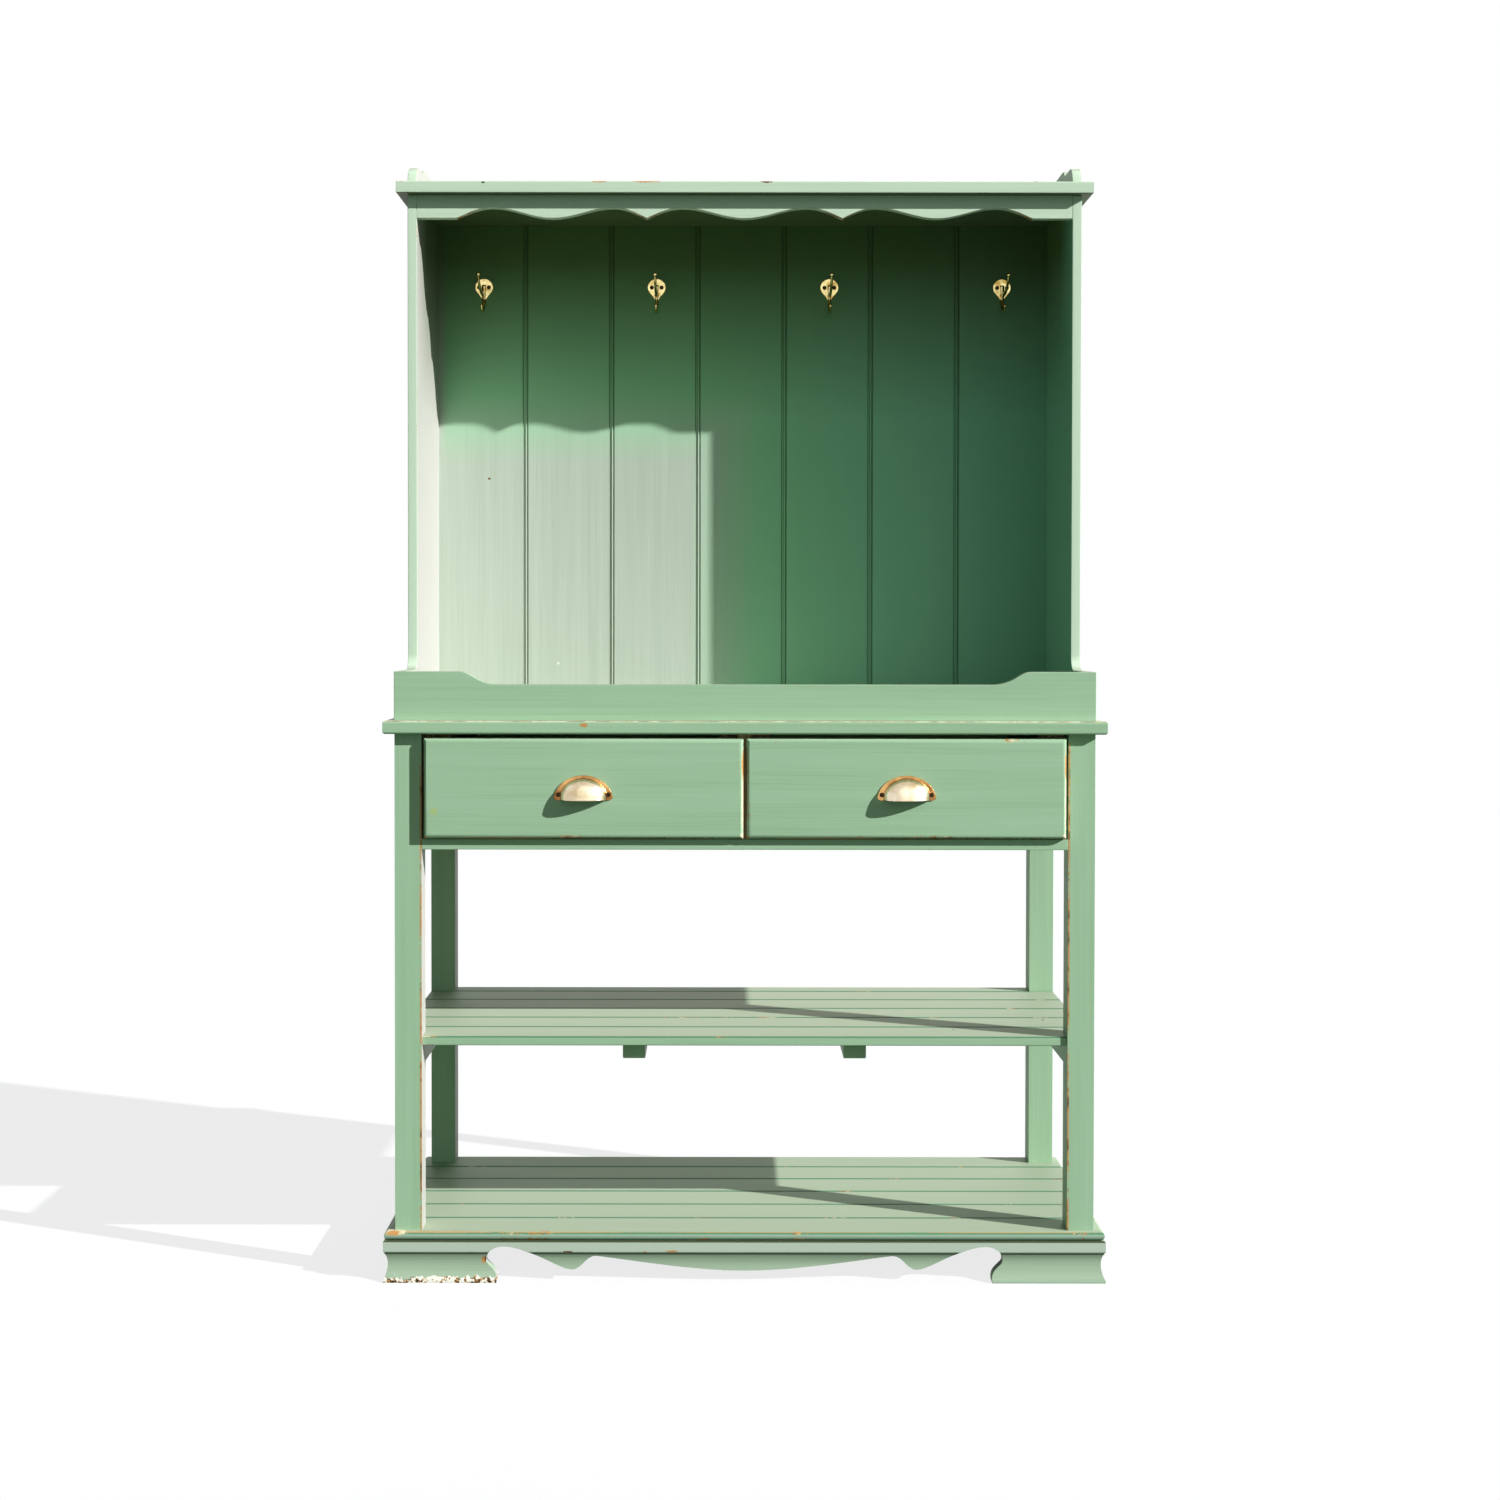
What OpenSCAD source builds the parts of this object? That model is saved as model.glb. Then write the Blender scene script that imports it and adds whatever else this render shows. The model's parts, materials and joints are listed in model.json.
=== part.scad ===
// Potting bench with a hutch: four square legs on a moulded plinth, two slatted shelves, two drawers
// and a worktop that carries an open hutch with a beaded back and coat hooks.
// Depths are measured backwards from the front faces of the legs. Every piece is then moved forward
// by mid_y, so that the origin is at the bottom centre of the whole.

/* [Frame] */
// Width over the legs
frame_w = 1144; // [900:1:1500]
// Depth over the legs
frame_d = 480; // [420:1:600]
// Side of a square leg
leg_s = 44; // [38:1:60]
// Top of the base shelf above the floor
base_z = 84; // [76:1:120]
// Top of the middle shelf above the floor
shelf_z = 401; // [340:1:560]
// Top of the worktop above the floor
work_z = 919; // [860:1:1000]
// Length of a tenon
tenon_l = 18; // [12:1:22]
// Thickness of a tenon
tenon_t = 8; // [6:1:10]

/* [Plinth] */
// Thickness of the moulded plinth boards at their widest
plinth_t = 26; // [22:1:30]
// How far the base shelf stands out in front of the legs
base_front = 10; // [6:1:40]
// How far the base shelf stands out at each side
base_side = 17; // [8:1:30]
// How far the moulding stands out past the base shelf
band_out = 1.5; // [0:0.5:5]
// Height of the band at the top of the moulding
band_h = 20; // [10:1:26]
// Depth of the hollow below the band
hollow = 7.5; // [3:0.5:12]
// Length of a front foot, from its outer end to its toe
foot_w = 185; // [120:1:230]
// Length of the feet along the sides
side_foot = 132; // [90:1:150]
// Height of the narrow neck of a foot
neck_z = 37.5; // [30:0.5:44]
// How far the neck is set back from the toe
neck_in = 17; // [8:1:24]
// Wood left above the arch beside a foot
arch_top = 9; // [5:1:14]
// How far the top of the arch lies inside the toe
arch_in = 11; // [6:1:18]
// Lowest point of the pointed drop beside the arch
drop_z = 20.5; // [16:0.5:34]
// Distance from a toe to the drop
drop_run = 124; // [90:1:150]
// Distance from a toe to the cusp behind the drop
cusp_run = 163; // [140:1:190]
// Height of the cusp
cusp_z = 43.5; // [36:0.5:56]
// Lowest point in the middle of the apron
middle_z = 19; // [14:0.5:34]
// Thickness of the plain board at the back of the plinth
plinth_rear_t = 18; // [15:1:22]
// Side of a corner glue block
block_s = 50; // [40:1:70]
// Air under a glue block
block_up = 3; // [1:0.5:6]

/* [Slats] */
// Number of slats in each shelf
slats = 6; // [5:1:7]
// Thickness of a slat
slat_t = 15; // [12:1:20]
// Gap between two slats
slat_gap = 2; // [1:0.5:4]
// Width of the last slat of the base shelf, which is ripped to fit
slat_last = 72; // [40:1:90]
// Radius of the eased long edges of a slat
slat_r = 2; // [1:0.5:3]
// Flat left in the middle of a bull nose
nose_flat = 1; // [0.5:0.5:4]
// How far the middle shelf lies behind the fronts of the legs
shelf_in = 5; // [2:1:12]
// Thickness of a rail under the middle shelf
shelf_rail_t = 22; // [18:1:26]
// Height of a rail under the middle shelf
shelf_rail_h = 34; // [28:1:50]
// Width of a batten under the middle shelf
batten_w = 37; // [28:1:50]
// Height of a batten under the middle shelf
batten_h = 26; // [18:1:34]
// Distance of each batten from the middle
batten_x = 182; // [120:1:260]
// How far the ends of the battens lie behind the front and rear faces of the legs
batten_in = 26; // [6:1:40]
// Undercut at the front end of a batten
batten_cut = 5; // [2:1:10]

/* [Drawers] */
// Thickness of the side and rear aprons
apron_t = 18; // [15:1:22]
// How far the aprons are set back from the faces of the legs
apron_in = 4; // [1:1:8]
// Height of the aprons, from under the drawer rail up to the worktop
apron_h = 189.5; // [150:0.5:240]
// Thickness of the drawer rail
rail_t = 17.5; // [14:0.5:24]
// Thickness of the upright divider
divider_t = 24; // [18:1:30]
// Gap between the two drawer fronts
front_gap = 4.5; // [3:0.5:14]
// Gap between a drawer front and the leg beside it
front_side = 4.5; // [3:0.5:12]
// Gap above a drawer front
front_top = 6.5; // [4:0.5:10]
// Gap between the drawer rail and a drawer front
front_foot = 1.5; // [1:0.5:3]
// Thickness of a drawer front
front_t = 20; // [18:1:24]
// How far a drawer front stands out in front of the legs
front_out = 14; // [8:1:16]
// Radius of the cushioned edges of a drawer front
front_r = 8; // [2:0.5:10]
// How far a drawer front laps over the side of its box
front_lap = 11; // [6:0.5:14]
// Space left behind a drawer box
box_rear = 42; // [10:1:120]
// Thickness of the sides and back of a drawer box
box_t = 12; // [10:1:15]
// Thickness of a drawer bottom
bottom_t = 6; // [4:1:8]
// Depth of the groove for a drawer bottom
groove = 5; // [3:1:6]
// Height of the groove above the lower edge of a drawer box
groove_up = 10; // [8:1:16]
// Running clearance beside a drawer box
run = 1; // [0.5:0.25:2]
// Clearance between a drawer box and the runners that it slides on
seat = 0.3; // [0.1:0.1:0.8]
// Width of the strip that a drawer box slides on
runner_w = 24; // [14:1:30]
// Height of a side guide above the runner
guide_h = 20; // [14:1:40]
// Width of a kicker strip
kicker_w = 30; // [20:1:40]
// Thickness of a kicker strip
kicker_t = 30; // [15:1:40]

/* [Worktop] */
// Thickness of the worktop
work_t = 21.5; // [18:0.5:32]
// How far the worktop stands out in front of the legs
work_front = 18; // [10:1:40]
// How far the worktop stands out at each side
work_side = 17; // [10:1:40]
// Radius of the eased edges of the worktop
work_r = 4; // [2:0.5:8]

/* [Gallery] */
// Thickness of the gallery board
gallery_t = 18; // [14:1:22]
// Height of the gallery at its ends
gallery_end = 80; // [64:1:120]
// Height of the gallery in the middle
gallery_mid = 59; // [40:1:60]
// Length of the high part at each end of the gallery
ogee_in = 107; // [60:1:160]
// Run of the falling curve of the gallery
ogee_run = 61; // [40:1:90]

/* [Hutch] */
// How far the hutch stands out past the legs at each side
hutch_out = 1; // [0:1:8]
// Thickness of a hutch side
side_t = 16; // [14:1:22]
// Depth of a hutch side
hutch_d = 296; // [220:1:320]
// How far the rear of the hutch lies in front of the rear faces of the legs
hutch_set = 24; // [4:1:40]
// Height of the hutch from the worktop to the crown board
hutch_h = 886; // [700:1:1000]
// Radius of the sweep at the foot of each hutch side
sweep_r = 25; // [12:1:40]
// Number of back boards
boards = 7; // [5:1:9]
// How much wider the outermost boards show than the others
board_more = 4; // [0:1:10]
// Thickness of a back board
board_t = 15; // [12:1:18]
// Width of the rebate that a back board sits in
rebate = 8; // [5:1:10]
// Length of a tongue
tongue_l = 6; // [4:1:8]
// Thickness of a tongue
tongue_t = 5; // [4:0.5:6]
// Width of the bead at each joint of the back
bead_w = 5; // [4:0.5:7]
// Depth of the grooves beside a bead
quirk = 1.8; // [1:0.1:2.5]

/* [Crown] */
// Thickness of the crown board
crown_t = 20; // [16:1:28]
// How far the crown board stands out in front of the hutch
crown_front = 20; // [10:1:30]
// How far the crown board stands out at each side
crown_side = 17; // [10:1:30]
// Radius of the eased edges of the crown board
crown_r = 2; // [1:0.5:4]
// Thickness of the valance
valance_t = 18; // [14:1:22]
// Height of the valance at its ends
valance_h = 39; // [30:1:60]
// Height of the scallops of the valance
scallop_h = 18; // [8:1:24]
// Straight stretch at each end of the valance
valance_end = 68; // [20:1:80]
// Thickness of a top scroll
scroll_t = 16; // [12:1:22]
// Height of the front of a top scroll
scroll_low = 31; // [20:1:40]
// Height of the rear of a top scroll
scroll_high = 42; // [34:1:60]
// Distance from the front of a top scroll to its step
scroll_step = 82; // [60:1:120]
// Run of the step of a top scroll
scroll_run = 26; // [16:1:40]

/* [Pulls] */
// Width of a cup pull over its flange
pull_w = 96; // [80:1:110]
// Height of a cup pull
pull_h = 40; // [34:1:50]
// How far a cup pull stands out from the drawer front
pull_out = 25; // [18:1:32]
// Thickness of the cast wall of a cup
pull_wall = 2; // [1.5:0.25:3]
// Thickness of the flange of a cup pull
flange_t = 2; // [1.5:0.25:3]
// Width of the flange outside the cup
flange_w = 8; // [6:0.5:10]
// Distance between the two screws of a cup pull
pull_screws = 81; // [64:0.5:86]
// Height of those screws above the lower edge of the flange
pull_screw_up = 8.8; // [5:0.2:10]
// Height of a cup pull above the middle of its drawer front
pull_up = 1.5; // [-20:0.5:20]

/* [Hooks] */
// Number of coat hooks
hooks = 4; // [2:1:4]
// Distance between two hooks, in back boards
hook_boards = 2; // [1:1:2]
// Distance from the crown board down to the centres of the hook plates
hook_drop = 113; // [70:1:200]
// Width of a hook plate
plate_w = 33; // [28:1:40]
// Thickness of a hook plate
plate_t = 3; // [2:0.5:4]
// Length of the tapered stem below the centre of a plate
stem_l = 28; // [22:1:34]
// Where the upper prong leaves the stem, below the centre of the plate
upper_root = 15; // [12:1:20]
// Where the lower prong leaves the stem, below the centre of the plate
lower_root = 22; // [18:1:26]
// Reach of the upper prong
upper_out = 96; // [60:1:110]
// Height of the upper prong's tip above the centre of the plate
upper_up = 9; // [0:1:24]
// Reach of the lower prong
lower_out = 46; // [30:1:60]
// Depth of the lower prong's tip below the centre of the plate
lower_down = 39; // [34:1:50]
// Radius of a prong where it leaves the stem
prong_r = 3.2; // [2.5:0.1:4]
// Radius of a prong at its tip
tip_r = 2.2; // [1.6:0.1:3]
// Radius of the ball at the upper tip
ball_r = 4; // [3.5:0.1:6]
// Distance between the two screws of a hook
hook_screw_gap = 17.8; // [15:0.2:20]
// Radius of a screw shank
shank_r = 1.6; // [1.2:0.1:2]
// Radius of a screw head
head_r = 3.2; // [2.8:0.1:3.6]
// Length of a screw shank in the wood
shank_l = 11; // [8:1:12]
// Play of a screw in the hole of a cast fitting
screw_play = 0.2; // [0.1:0.1:0.5]
// Width and depth of the slot in a screw head
slot_w = 0.8; // [0.6:0.1:1.2]

/* [Hidden] */
sides = ["left", "right"];
$fn = 48;

// Colours of the paint, the bare inner wood and the metal
paint = [0.60, 0.73, 0.60];
bare = [0.80, 0.68, 0.50];
cast_brass = [0.76, 0.64, 0.42];
steel_dark = [0.30, 0.27, 0.22];

// The small overrun of a cutting shape past the face that it cuts
over = 1;

// The whole and its middle
mid_y = (frame_d - front_out - pull_out) / 2;
leg_x = frame_w / 2;
leg_in = leg_x - leg_s;
work_under = work_z - work_t;

// Plinth
plinth_h = base_z - slat_t;
out_x = leg_x + base_side + band_out;
out_y = -base_front - band_out;
toe_x = out_x - foot_w;
arch_z = plinth_h - arch_top;

// Shelves: the last slat of the middle one fills the space between the rear legs
slat_pitch = (frame_d + base_front - slat_last) / (slats - 1);
shelf_pitch = (frame_d - leg_s - shelf_in) / (slats - 1);
shelf_under = shelf_z - slat_t;

// Aprons, rail, divider and runners
apron_z = work_under - apron_h;
apron_x = leg_x - apron_in - apron_t;
rear_apron_y = frame_d - apron_in - apron_t;
runner_z = apron_z + rail_t;
divider_y = front_t - front_out + run;

// Drawers: the middle of a front, its size, and the box behind it
front_w = leg_in - front_side - front_gap / 2;
drawer_x = (front_gap + front_w) / 2;
front_z = runner_z + front_foot;
front_h = work_under - front_top - front_z;
kicker_z = work_under - kicker_t;
box_w = front_w - 2 * front_lap;
box_y = front_t - front_out;
box_l = rear_apron_y - box_rear - box_y;
box_z = runner_z + seat;
box_h = kicker_z - 2 * run - box_z;
guide_x = drawer_x + box_w / 2 + run;

// Hutch
hutch_x = leg_x + hutch_out;
hutch_in = hutch_x - side_t;
hutch_rear = frame_d - hutch_set;
hutch_front = hutch_rear - hutch_d;
crown_z = work_z + hutch_h;
board_y = hutch_rear - board_t;
board_edge = hutch_in + rebate;
board_pitch = 2 * (hutch_in - board_more) / boards;
gallery_top = work_z + gallery_end;

// The metal fittings
cup_a = pull_w / 2 - flange_w;
cup_b = pull_h - flange_w / 2;
pull_z = front_z + (front_h - pull_h) / 2 + pull_up;
pull_screw_z = pull_z + pull_screw_up;
hook_z = crown_z - hook_drop;
sink = head_r - shank_r;

// Points on an arc, in degrees
function arc(c, r, a0, a1, n = 12) =
    [for (i = [0:n]) let (a = a0 + (a1 - a0) * i / n) c + r * [cos(a), sin(a)]];

// Points on a curve from p[0] to p[3] that leaves towards p[1] and arrives from p[2]
function curve(p, n = 14) =
    [for (i = [0:n]) let (t = i / n, s = 1 - t)
        s * s * s * p[0] + 3 * s * s * t * p[1] + 3 * s * t * t * p[2] + t * t * t * p[3]];

// The same points turned over left to right, in reverse order
function turned(p) = [for (i = [len(p) - 1:-1:0]) [-p[i][0], p[i][1]]];

// A profile in depth and height, drawn along the width from x0 to x1
module lying(x0, x1) {
    translate([x0, 0, 0]) rotate([90, 0, 90]) linear_extrude(x1 - x0) children();
}

// A profile in width and height, drawn backwards from y0 to y1
module facing(y0, y1) {
    translate([0, y1, 0]) rotate([90, 0, 0]) linear_extrude(y1 - y0) children();
}

// A box between two corners
module slab(low, high) {
    translate(low) cube(high - low);
}

// Moves a piece from its measured depth into the centred frame
module placed() {
    translate([0, -mid_y, 0]) children();
}

// A rectangle from (0, 0) whose first two corners on the left are rounded
module eased(w, h, r) {
    polygon(concat(arc([r, r], r, 270, 180, 6), arc([r, h - r], r, 180, 90, 6), [[w, h], [w, 0]]));
}

// A rectangle from (0, 0) with four rounded corners
module softened(w, h, r) {
    polygon(concat(
        arc([r, r], r, 270, 180, 4), arc([r, h - r], r, 180, 90, 4),
        arc([w - r, h - r], r, 90, 0, 4), arc([w - r, r], r, 0, -90, 4)));
}

// Section of the plinth: band, step, hollow and flared foot, with the outside at the left
module plinth_section() {
    under = plinth_h - band_h;
    band_r = 3;
    step = 2;
    flare_z = 4;
    polygon(concat(
        [[0, 0], [0, flare_z]],
        curve([[0, flare_z], [hollow * 1.1, under * 0.38], [hollow * 1.3, under * 0.76],
            [step, under - 1]], 10),
        [[step, under]],
        arc([band_r, under + band_r], band_r, 270, 180, 5),
        arc([band_r, plinth_h - band_r], band_r, 180, 90, 5),
        [[plinth_t, plinth_h], [plinth_t, 0]]));
}

// Inner edge of a foot and the arch above it, from the toe outwards to the arch's top
function foot_curve(toe) =
    let (neck = toe + neck_in, crown = toe - arch_in, rise = arch_z - neck_z)
    concat(
        curve([[toe, 0], [toe - neck_in * 0.3, neck_z * 0.62], [neck + neck_in * 0.2, neck_z * 0.72],
            [neck, neck_z]], 10),
        curve([[neck, neck_z], [neck, neck_z + rise * 0.6], [crown + arch_in * 1.25, arch_z],
            [crown, arch_z]], 8));

// The space under the front apron, right half, from the toe to the middle: the foot, the arch's far
// side down to the pointed drop, the short rise to the cusp, and the long fall to the middle
function apron_curve() =
    let (crown = toe_x - arch_in, drop = toe_x - drop_run, cusp = toe_x - cusp_run)
    concat(
        foot_curve(toe_x),
        curve([[crown, arch_z], [crown - (crown - drop) * 0.37, arch_z],
            [drop + (crown - drop) * 0.23, drop_z], [drop, drop_z]], 12),
        curve([[drop, drop_z], [drop - (drop - cusp) * 0.4, drop_z],
            [cusp + (drop - cusp) * 0.43, cusp_z], [cusp, cusp_z]], 8),
        curve([[cusp, cusp_z], [cusp * 0.86, cusp_z - 4], [cusp * 0.4, middle_z], [0, middle_z]], 12));

module apron_space() {
    p = apron_curve();
    polygon(concat([[p[0][0], -over]], p, turned(p), [[-p[0][0], -over]]));
}

module plinth_front() {
    color(paint) placed() difference() {
        intersection() {
            translate([0, out_y, 0]) lying(-out_x, out_x) plinth_section();
            linear_extrude(plinth_h) polygon([[-out_x, out_y], [out_x, out_y],
                [out_x - plinth_t, out_y + plinth_t], [-out_x + plinth_t, out_y + plinth_t]]);
        }
        facing(out_y - over, out_y + plinth_t + over) apron_space();
    }
}

// A side of the plinth, with the arch between its own two feet
module plinth_side(side) {
    toe = (frame_d - out_y) / 2 - side_foot;
    p = foot_curve(toe);
    half = side > 0 ? 0 : 1;
    color(paint) placed() mirror([half, 0, 0]) difference() {
        intersection() {
            translate([out_x, frame_d, 0]) rotate([90, 0, 0]) mirror([1, 0, 0])
                linear_extrude(frame_d - out_y) plinth_section();
            linear_extrude(plinth_h) polygon([[out_x, out_y], [out_x, frame_d],
                [out_x - plinth_t, frame_d], [out_x - plinth_t, out_y + plinth_t]]);
        }
        translate([0, (frame_d + out_y) / 2, 0]) lying(out_x - plinth_t - over, out_x + over)
            polygon(concat([[toe, -over]], p, turned(p), [[-toe, -over]]));
    }
}

module plinth_rear() {
    p = foot_curve(toe_x);
    end = out_x - plinth_t;
    color(paint) placed() difference() {
        slab([-end, frame_d - plinth_rear_t, 0], [end, frame_d, plinth_h]);
        facing(frame_d - plinth_rear_t - over, frame_d + over)
            polygon(concat([[toe_x, -over]], p, turned(p), [[-toe_x, -over]]));
    }
}

module plinth_blocks() {
    outer = out_x - plinth_t;
    front = out_y + plinth_t;
    rear = frame_d - plinth_rear_t;
    color(bare) placed() for (side = [-1, 1]) scale_x(side) {
        slab([outer - block_s, front, block_up], [outer, front + block_s, plinth_h]);
        slab([outer - block_s, rear - block_s, block_up], [outer, rear, plinth_h]);
    }
}

// Mirrors its children to the left where side is negative
module scale_x(side) {
    mirror([side < 0 ? 1 : 0, 0, 0]) children();
}

// A base slat: the first has a bull nose, and all have rounded ends
module base_slat(i) {
    y = -base_front + (i - 1) * slat_pitch;
    w = i == slats ? slat_last : slat_pitch - slat_gap;
    x = leg_x + base_side;
    nose = (slat_t - nose_flat) / 2;
    color(paint) placed() translate([0, y, plinth_h]) intersection() {
        lying(-x, x)
            if (i == 1) eased(w, slat_t, nose);
            else softened(w, slat_t, slat_r);
        translate([-x, 0, 0]) facing(0, w) softened(2 * x, slat_t, nose);
    }
}

// A leg with its mortises: side apron, shelf rail, and the front rail or the rear apron
module leg(side, rear) {
    y = rear ? frame_d - leg_s : 0;
    deep = tenon_l + over;
    side_y = rear ? [y - over, y + deep] : [y + leg_s - deep, y + leg_s + over];
    color(paint) placed() scale_x(side) difference() {
        slab([leg_in, y, base_z], [leg_x, y + leg_s, work_under]);
        side_tenon(side_y[0], side_y[1]);
        rail_tenon(side_y[0], side_y[1]);
        if (rear) rear_tenon(leg_in - over, leg_in + deep);
        else front_tenon(leg_in - over, leg_in + deep);
    }
}

// Tenon of a side apron between two depths, on the right
module side_tenon(y0, y1) {
    x = apron_x + (apron_t - tenon_t) / 2;
    slab([x, y0, apron_z + tenon_l], [x + tenon_t, y1, work_under - tenon_l]);
}

// Tenon of a shelf rail between two depths, on the right
module rail_tenon(y0, y1) {
    x = leg_in + (shelf_rail_t - tenon_t) / 2;
    slab([x, y0, shelf_under - shelf_rail_h + tenon_t / 2], [x + tenon_t, y1, shelf_under - tenon_t / 2]);
}

// Tenon of the rear apron between two widths
module rear_tenon(x0, x1) {
    y = rear_apron_y + (apron_t - tenon_t) / 2;
    slab([x0, y, apron_z + tenon_l], [x1, y + tenon_t, work_under - tenon_l]);
}

// Tenon of the drawer rail between two widths
module front_tenon(x0, x1) {
    z = apron_z + (rail_t - tenon_t) / 2;
    slab([x0, leg_s / 4, z], [x1, leg_s * 3 / 4, z + tenon_t]);
}

// Rails between the front and rear legs, one at each side
module shelf_rails() {
    rear = frame_d - leg_s;
    color(paint) placed() for (side = [-1, 1]) scale_x(side) {
        slab([leg_in, leg_s, shelf_under - shelf_rail_h], [leg_in + shelf_rail_t, rear, shelf_under]);
        rail_tenon(leg_s - tenon_l, leg_s);
        rail_tenon(rear, rear + tenon_l);
    }
}

// A slat of the middle shelf: the first and the last fit between the legs
module shelf_slat(i) {
    y0 = shelf_in + (i - 1) * shelf_pitch;
    y1 = i == slats ? frame_d : y0 + shelf_pitch - slat_gap;
    x = i == slats ? leg_in : leg_x;
    color(paint) placed() difference() {
        translate([0, y0, shelf_under]) lying(-x, x) softened(y1 - y0, slat_t, slat_r);
        if (i == 1) for (side = [-1, 1]) scale_x(side)
            slab([leg_in, -over, shelf_under - over], [leg_x + over, leg_s, shelf_z + over]);
    }
}

module shelf_battens() {
    z0 = shelf_under - batten_h;
    y0 = batten_in;
    y1 = frame_d - batten_in;
    color(paint) placed() for (side = [-1, 1]) translate([side * batten_x, 0, 0])
        lying(-batten_w / 2, batten_w / 2) polygon([[y0, shelf_under], [y1, shelf_under], [y1, z0],
            [y0 + batten_cut, z0], [y0, z0 + batten_cut]]);
}

module side_aprons() {
    rear = frame_d - leg_s;
    color(paint) placed() for (side = [-1, 1]) scale_x(side) {
        slab([apron_x, leg_s, apron_z], [apron_x + apron_t, rear, work_under]);
        side_tenon(leg_s - tenon_l, leg_s);
        side_tenon(rear, rear + tenon_l);
    }
}

module rear_apron() {
    color(paint) placed() {
        slab([-leg_in, rear_apron_y, apron_z], [leg_in, rear_apron_y + apron_t, work_under]);
        for (side = [-1, 1]) scale_x(side) rear_tenon(leg_in, leg_in + tenon_l);
    }
}

module drawer_rail() {
    color(paint) placed() {
        slab([-leg_in, 0, apron_z], [leg_in, leg_s, apron_z + rail_t]);
        for (side = [-1, 1]) scale_x(side) front_tenon(leg_in, leg_in + tenon_l);
    }
}

module drawer_divider() {
    color(bare) placed()
        slab([-divider_t / 2, divider_y, runner_z], [divider_t / 2, rear_apron_y, work_under]);
}

// Two L-shaped runners at the sides, a flat one under the divider, and four strips under the worktop
// that keep an open drawer from tipping
module drawer_runners() {
    rear = frame_d - leg_s;
    inner = guide_x - runner_w;
    middle = divider_t / 2 + runner_w;
    color(bare) placed() {
        for (side = [-1, 1]) scale_x(side) facing(leg_s, rear)
            polygon([[inner, apron_z], [apron_x, apron_z], [apron_x, runner_z + guide_h],
                [guide_x, runner_z + guide_h], [guide_x, runner_z], [inner, runner_z]]);
        slab([-middle, leg_s, apron_z], [middle, rear_apron_y, runner_z]);
        for (side = [-1, 1]) scale_x(side) {
            slab([guide_x - kicker_w, leg_s, kicker_z], [apron_x, rear, work_under]);
            slab([divider_t / 2, leg_s, kicker_z], [divider_t / 2 + kicker_w, rear_apron_y, work_under]);
        }
    }
}

module countertop() {
    x = leg_x + work_side;
    d = frame_d + work_front;
    color(paint) placed() translate([0, -work_front, work_under]) intersection() {
        lying(-x, x) eased(d, work_t, work_r);
        translate([-x, 0, 0]) facing(0, d) softened(2 * x, work_t, work_r);
    }
}

// The low board along the front of the worktop, with an ogee step near each end
module gallery_front() {
    top = gallery_end;
    mid = gallery_mid;
    x = hutch_x - ogee_in;
    fall = curve([[x, top], [x - ogee_run * 0.3, top], [x - ogee_run * 0.5, mid], [x - ogee_run, mid]], 12);
    color(paint) placed() translate([0, 0, work_z]) facing(0, gallery_t)
        polygon(concat([[hutch_x, 0], [hutch_x, top]], fall, turned(fall), [[-hutch_x, top], [-hutch_x, 0]]));
}

// A hutch side in one board with its sweep and the gallery return in front of it
module hutch_side(side) {
    color(paint) placed() scale_x(side) difference() {
        lying(hutch_in, hutch_x) polygon(concat(
            [[gallery_t, work_z], [gallery_t, gallery_top]],
            arc([hutch_front - sweep_r, gallery_top + sweep_r], sweep_r, -90, 0, 10),
            [[hutch_front, crown_z], [hutch_rear, crown_z], [hutch_rear, work_z]]));
        slab([hutch_in - over, board_y, work_z - over], [board_edge, hutch_rear + over, crown_z + over]);
    }
}

// Left edge of back board i
function board_x(i) =
    i == 1 ? -board_edge : i > boards ? board_edge : (i - 1 - boards / 2) * board_pitch;

// A back board in section: a groove at its left, a tongue and a bead at its right
module board_section(i) {
    w = board_x(i + 1) - board_x(i);
    z0 = (board_t - tongue_t) / 2;
    z1 = z0 + tongue_t;
    b = bead_w / 2;
    right = i == boards ? [[w, 0], [w, board_t]] :
        concat([[w - bead_w - 2 * quirk, 0], [w - bead_w - quirk, quirk]],
            [[w - bead_w, b / 2]], arc([w - b, b], b, 180, 360, 8),
            [[w, z0], [w + tongue_l, z0], [w + tongue_l, z1], [w, z1], [w, board_t]]);
    left = i == 1 ? [[0, board_t], [0, 0]] :
        [[0, board_t], [0, z1], [tongue_l, z1], [tongue_l, z0], [0, z0], [0, quirk], [quirk, 0]];
    polygon(concat(right, left));
}

// Place of hook i across the back, in the middle of its board
function hook_x(i) =
    let (n = (boards + 1) / 2 + (i - (hooks + 1) / 2) * hook_boards) (n - (boards + 1) / 2) * board_pitch;

module back_board(i) {
    color(paint) placed() difference() {
        translate([board_x(i), board_y, work_z]) linear_extrude(hutch_h) board_section(i);
        for (k = [1:hooks], s = [-1, 1]) if (floor_board(hook_x(k)) == i)
            translate([hook_x(k) + s * hook_screw_gap / 2, board_y - over, hook_z]) rotate([-90, 0, 0])
                cylinder(r = shank_r, h = shank_l + over);
    }
}

// Number of the board that lies behind a place across the back
function floor_board(x) = max(1, min(boards, floor(x / board_pitch + boards / 2) + 1));

module hutch_top() {
    x = hutch_x + crown_side;
    d = hutch_rear - hutch_front + crown_front;
    color(paint) placed() translate([0, hutch_front - crown_front, crown_z]) intersection() {
        lying(-x, x) eased(d, crown_t, crown_r);
        translate([-x, 0, 0]) facing(0, d) softened(2 * x, crown_t, crown_r);
    }
}

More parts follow.
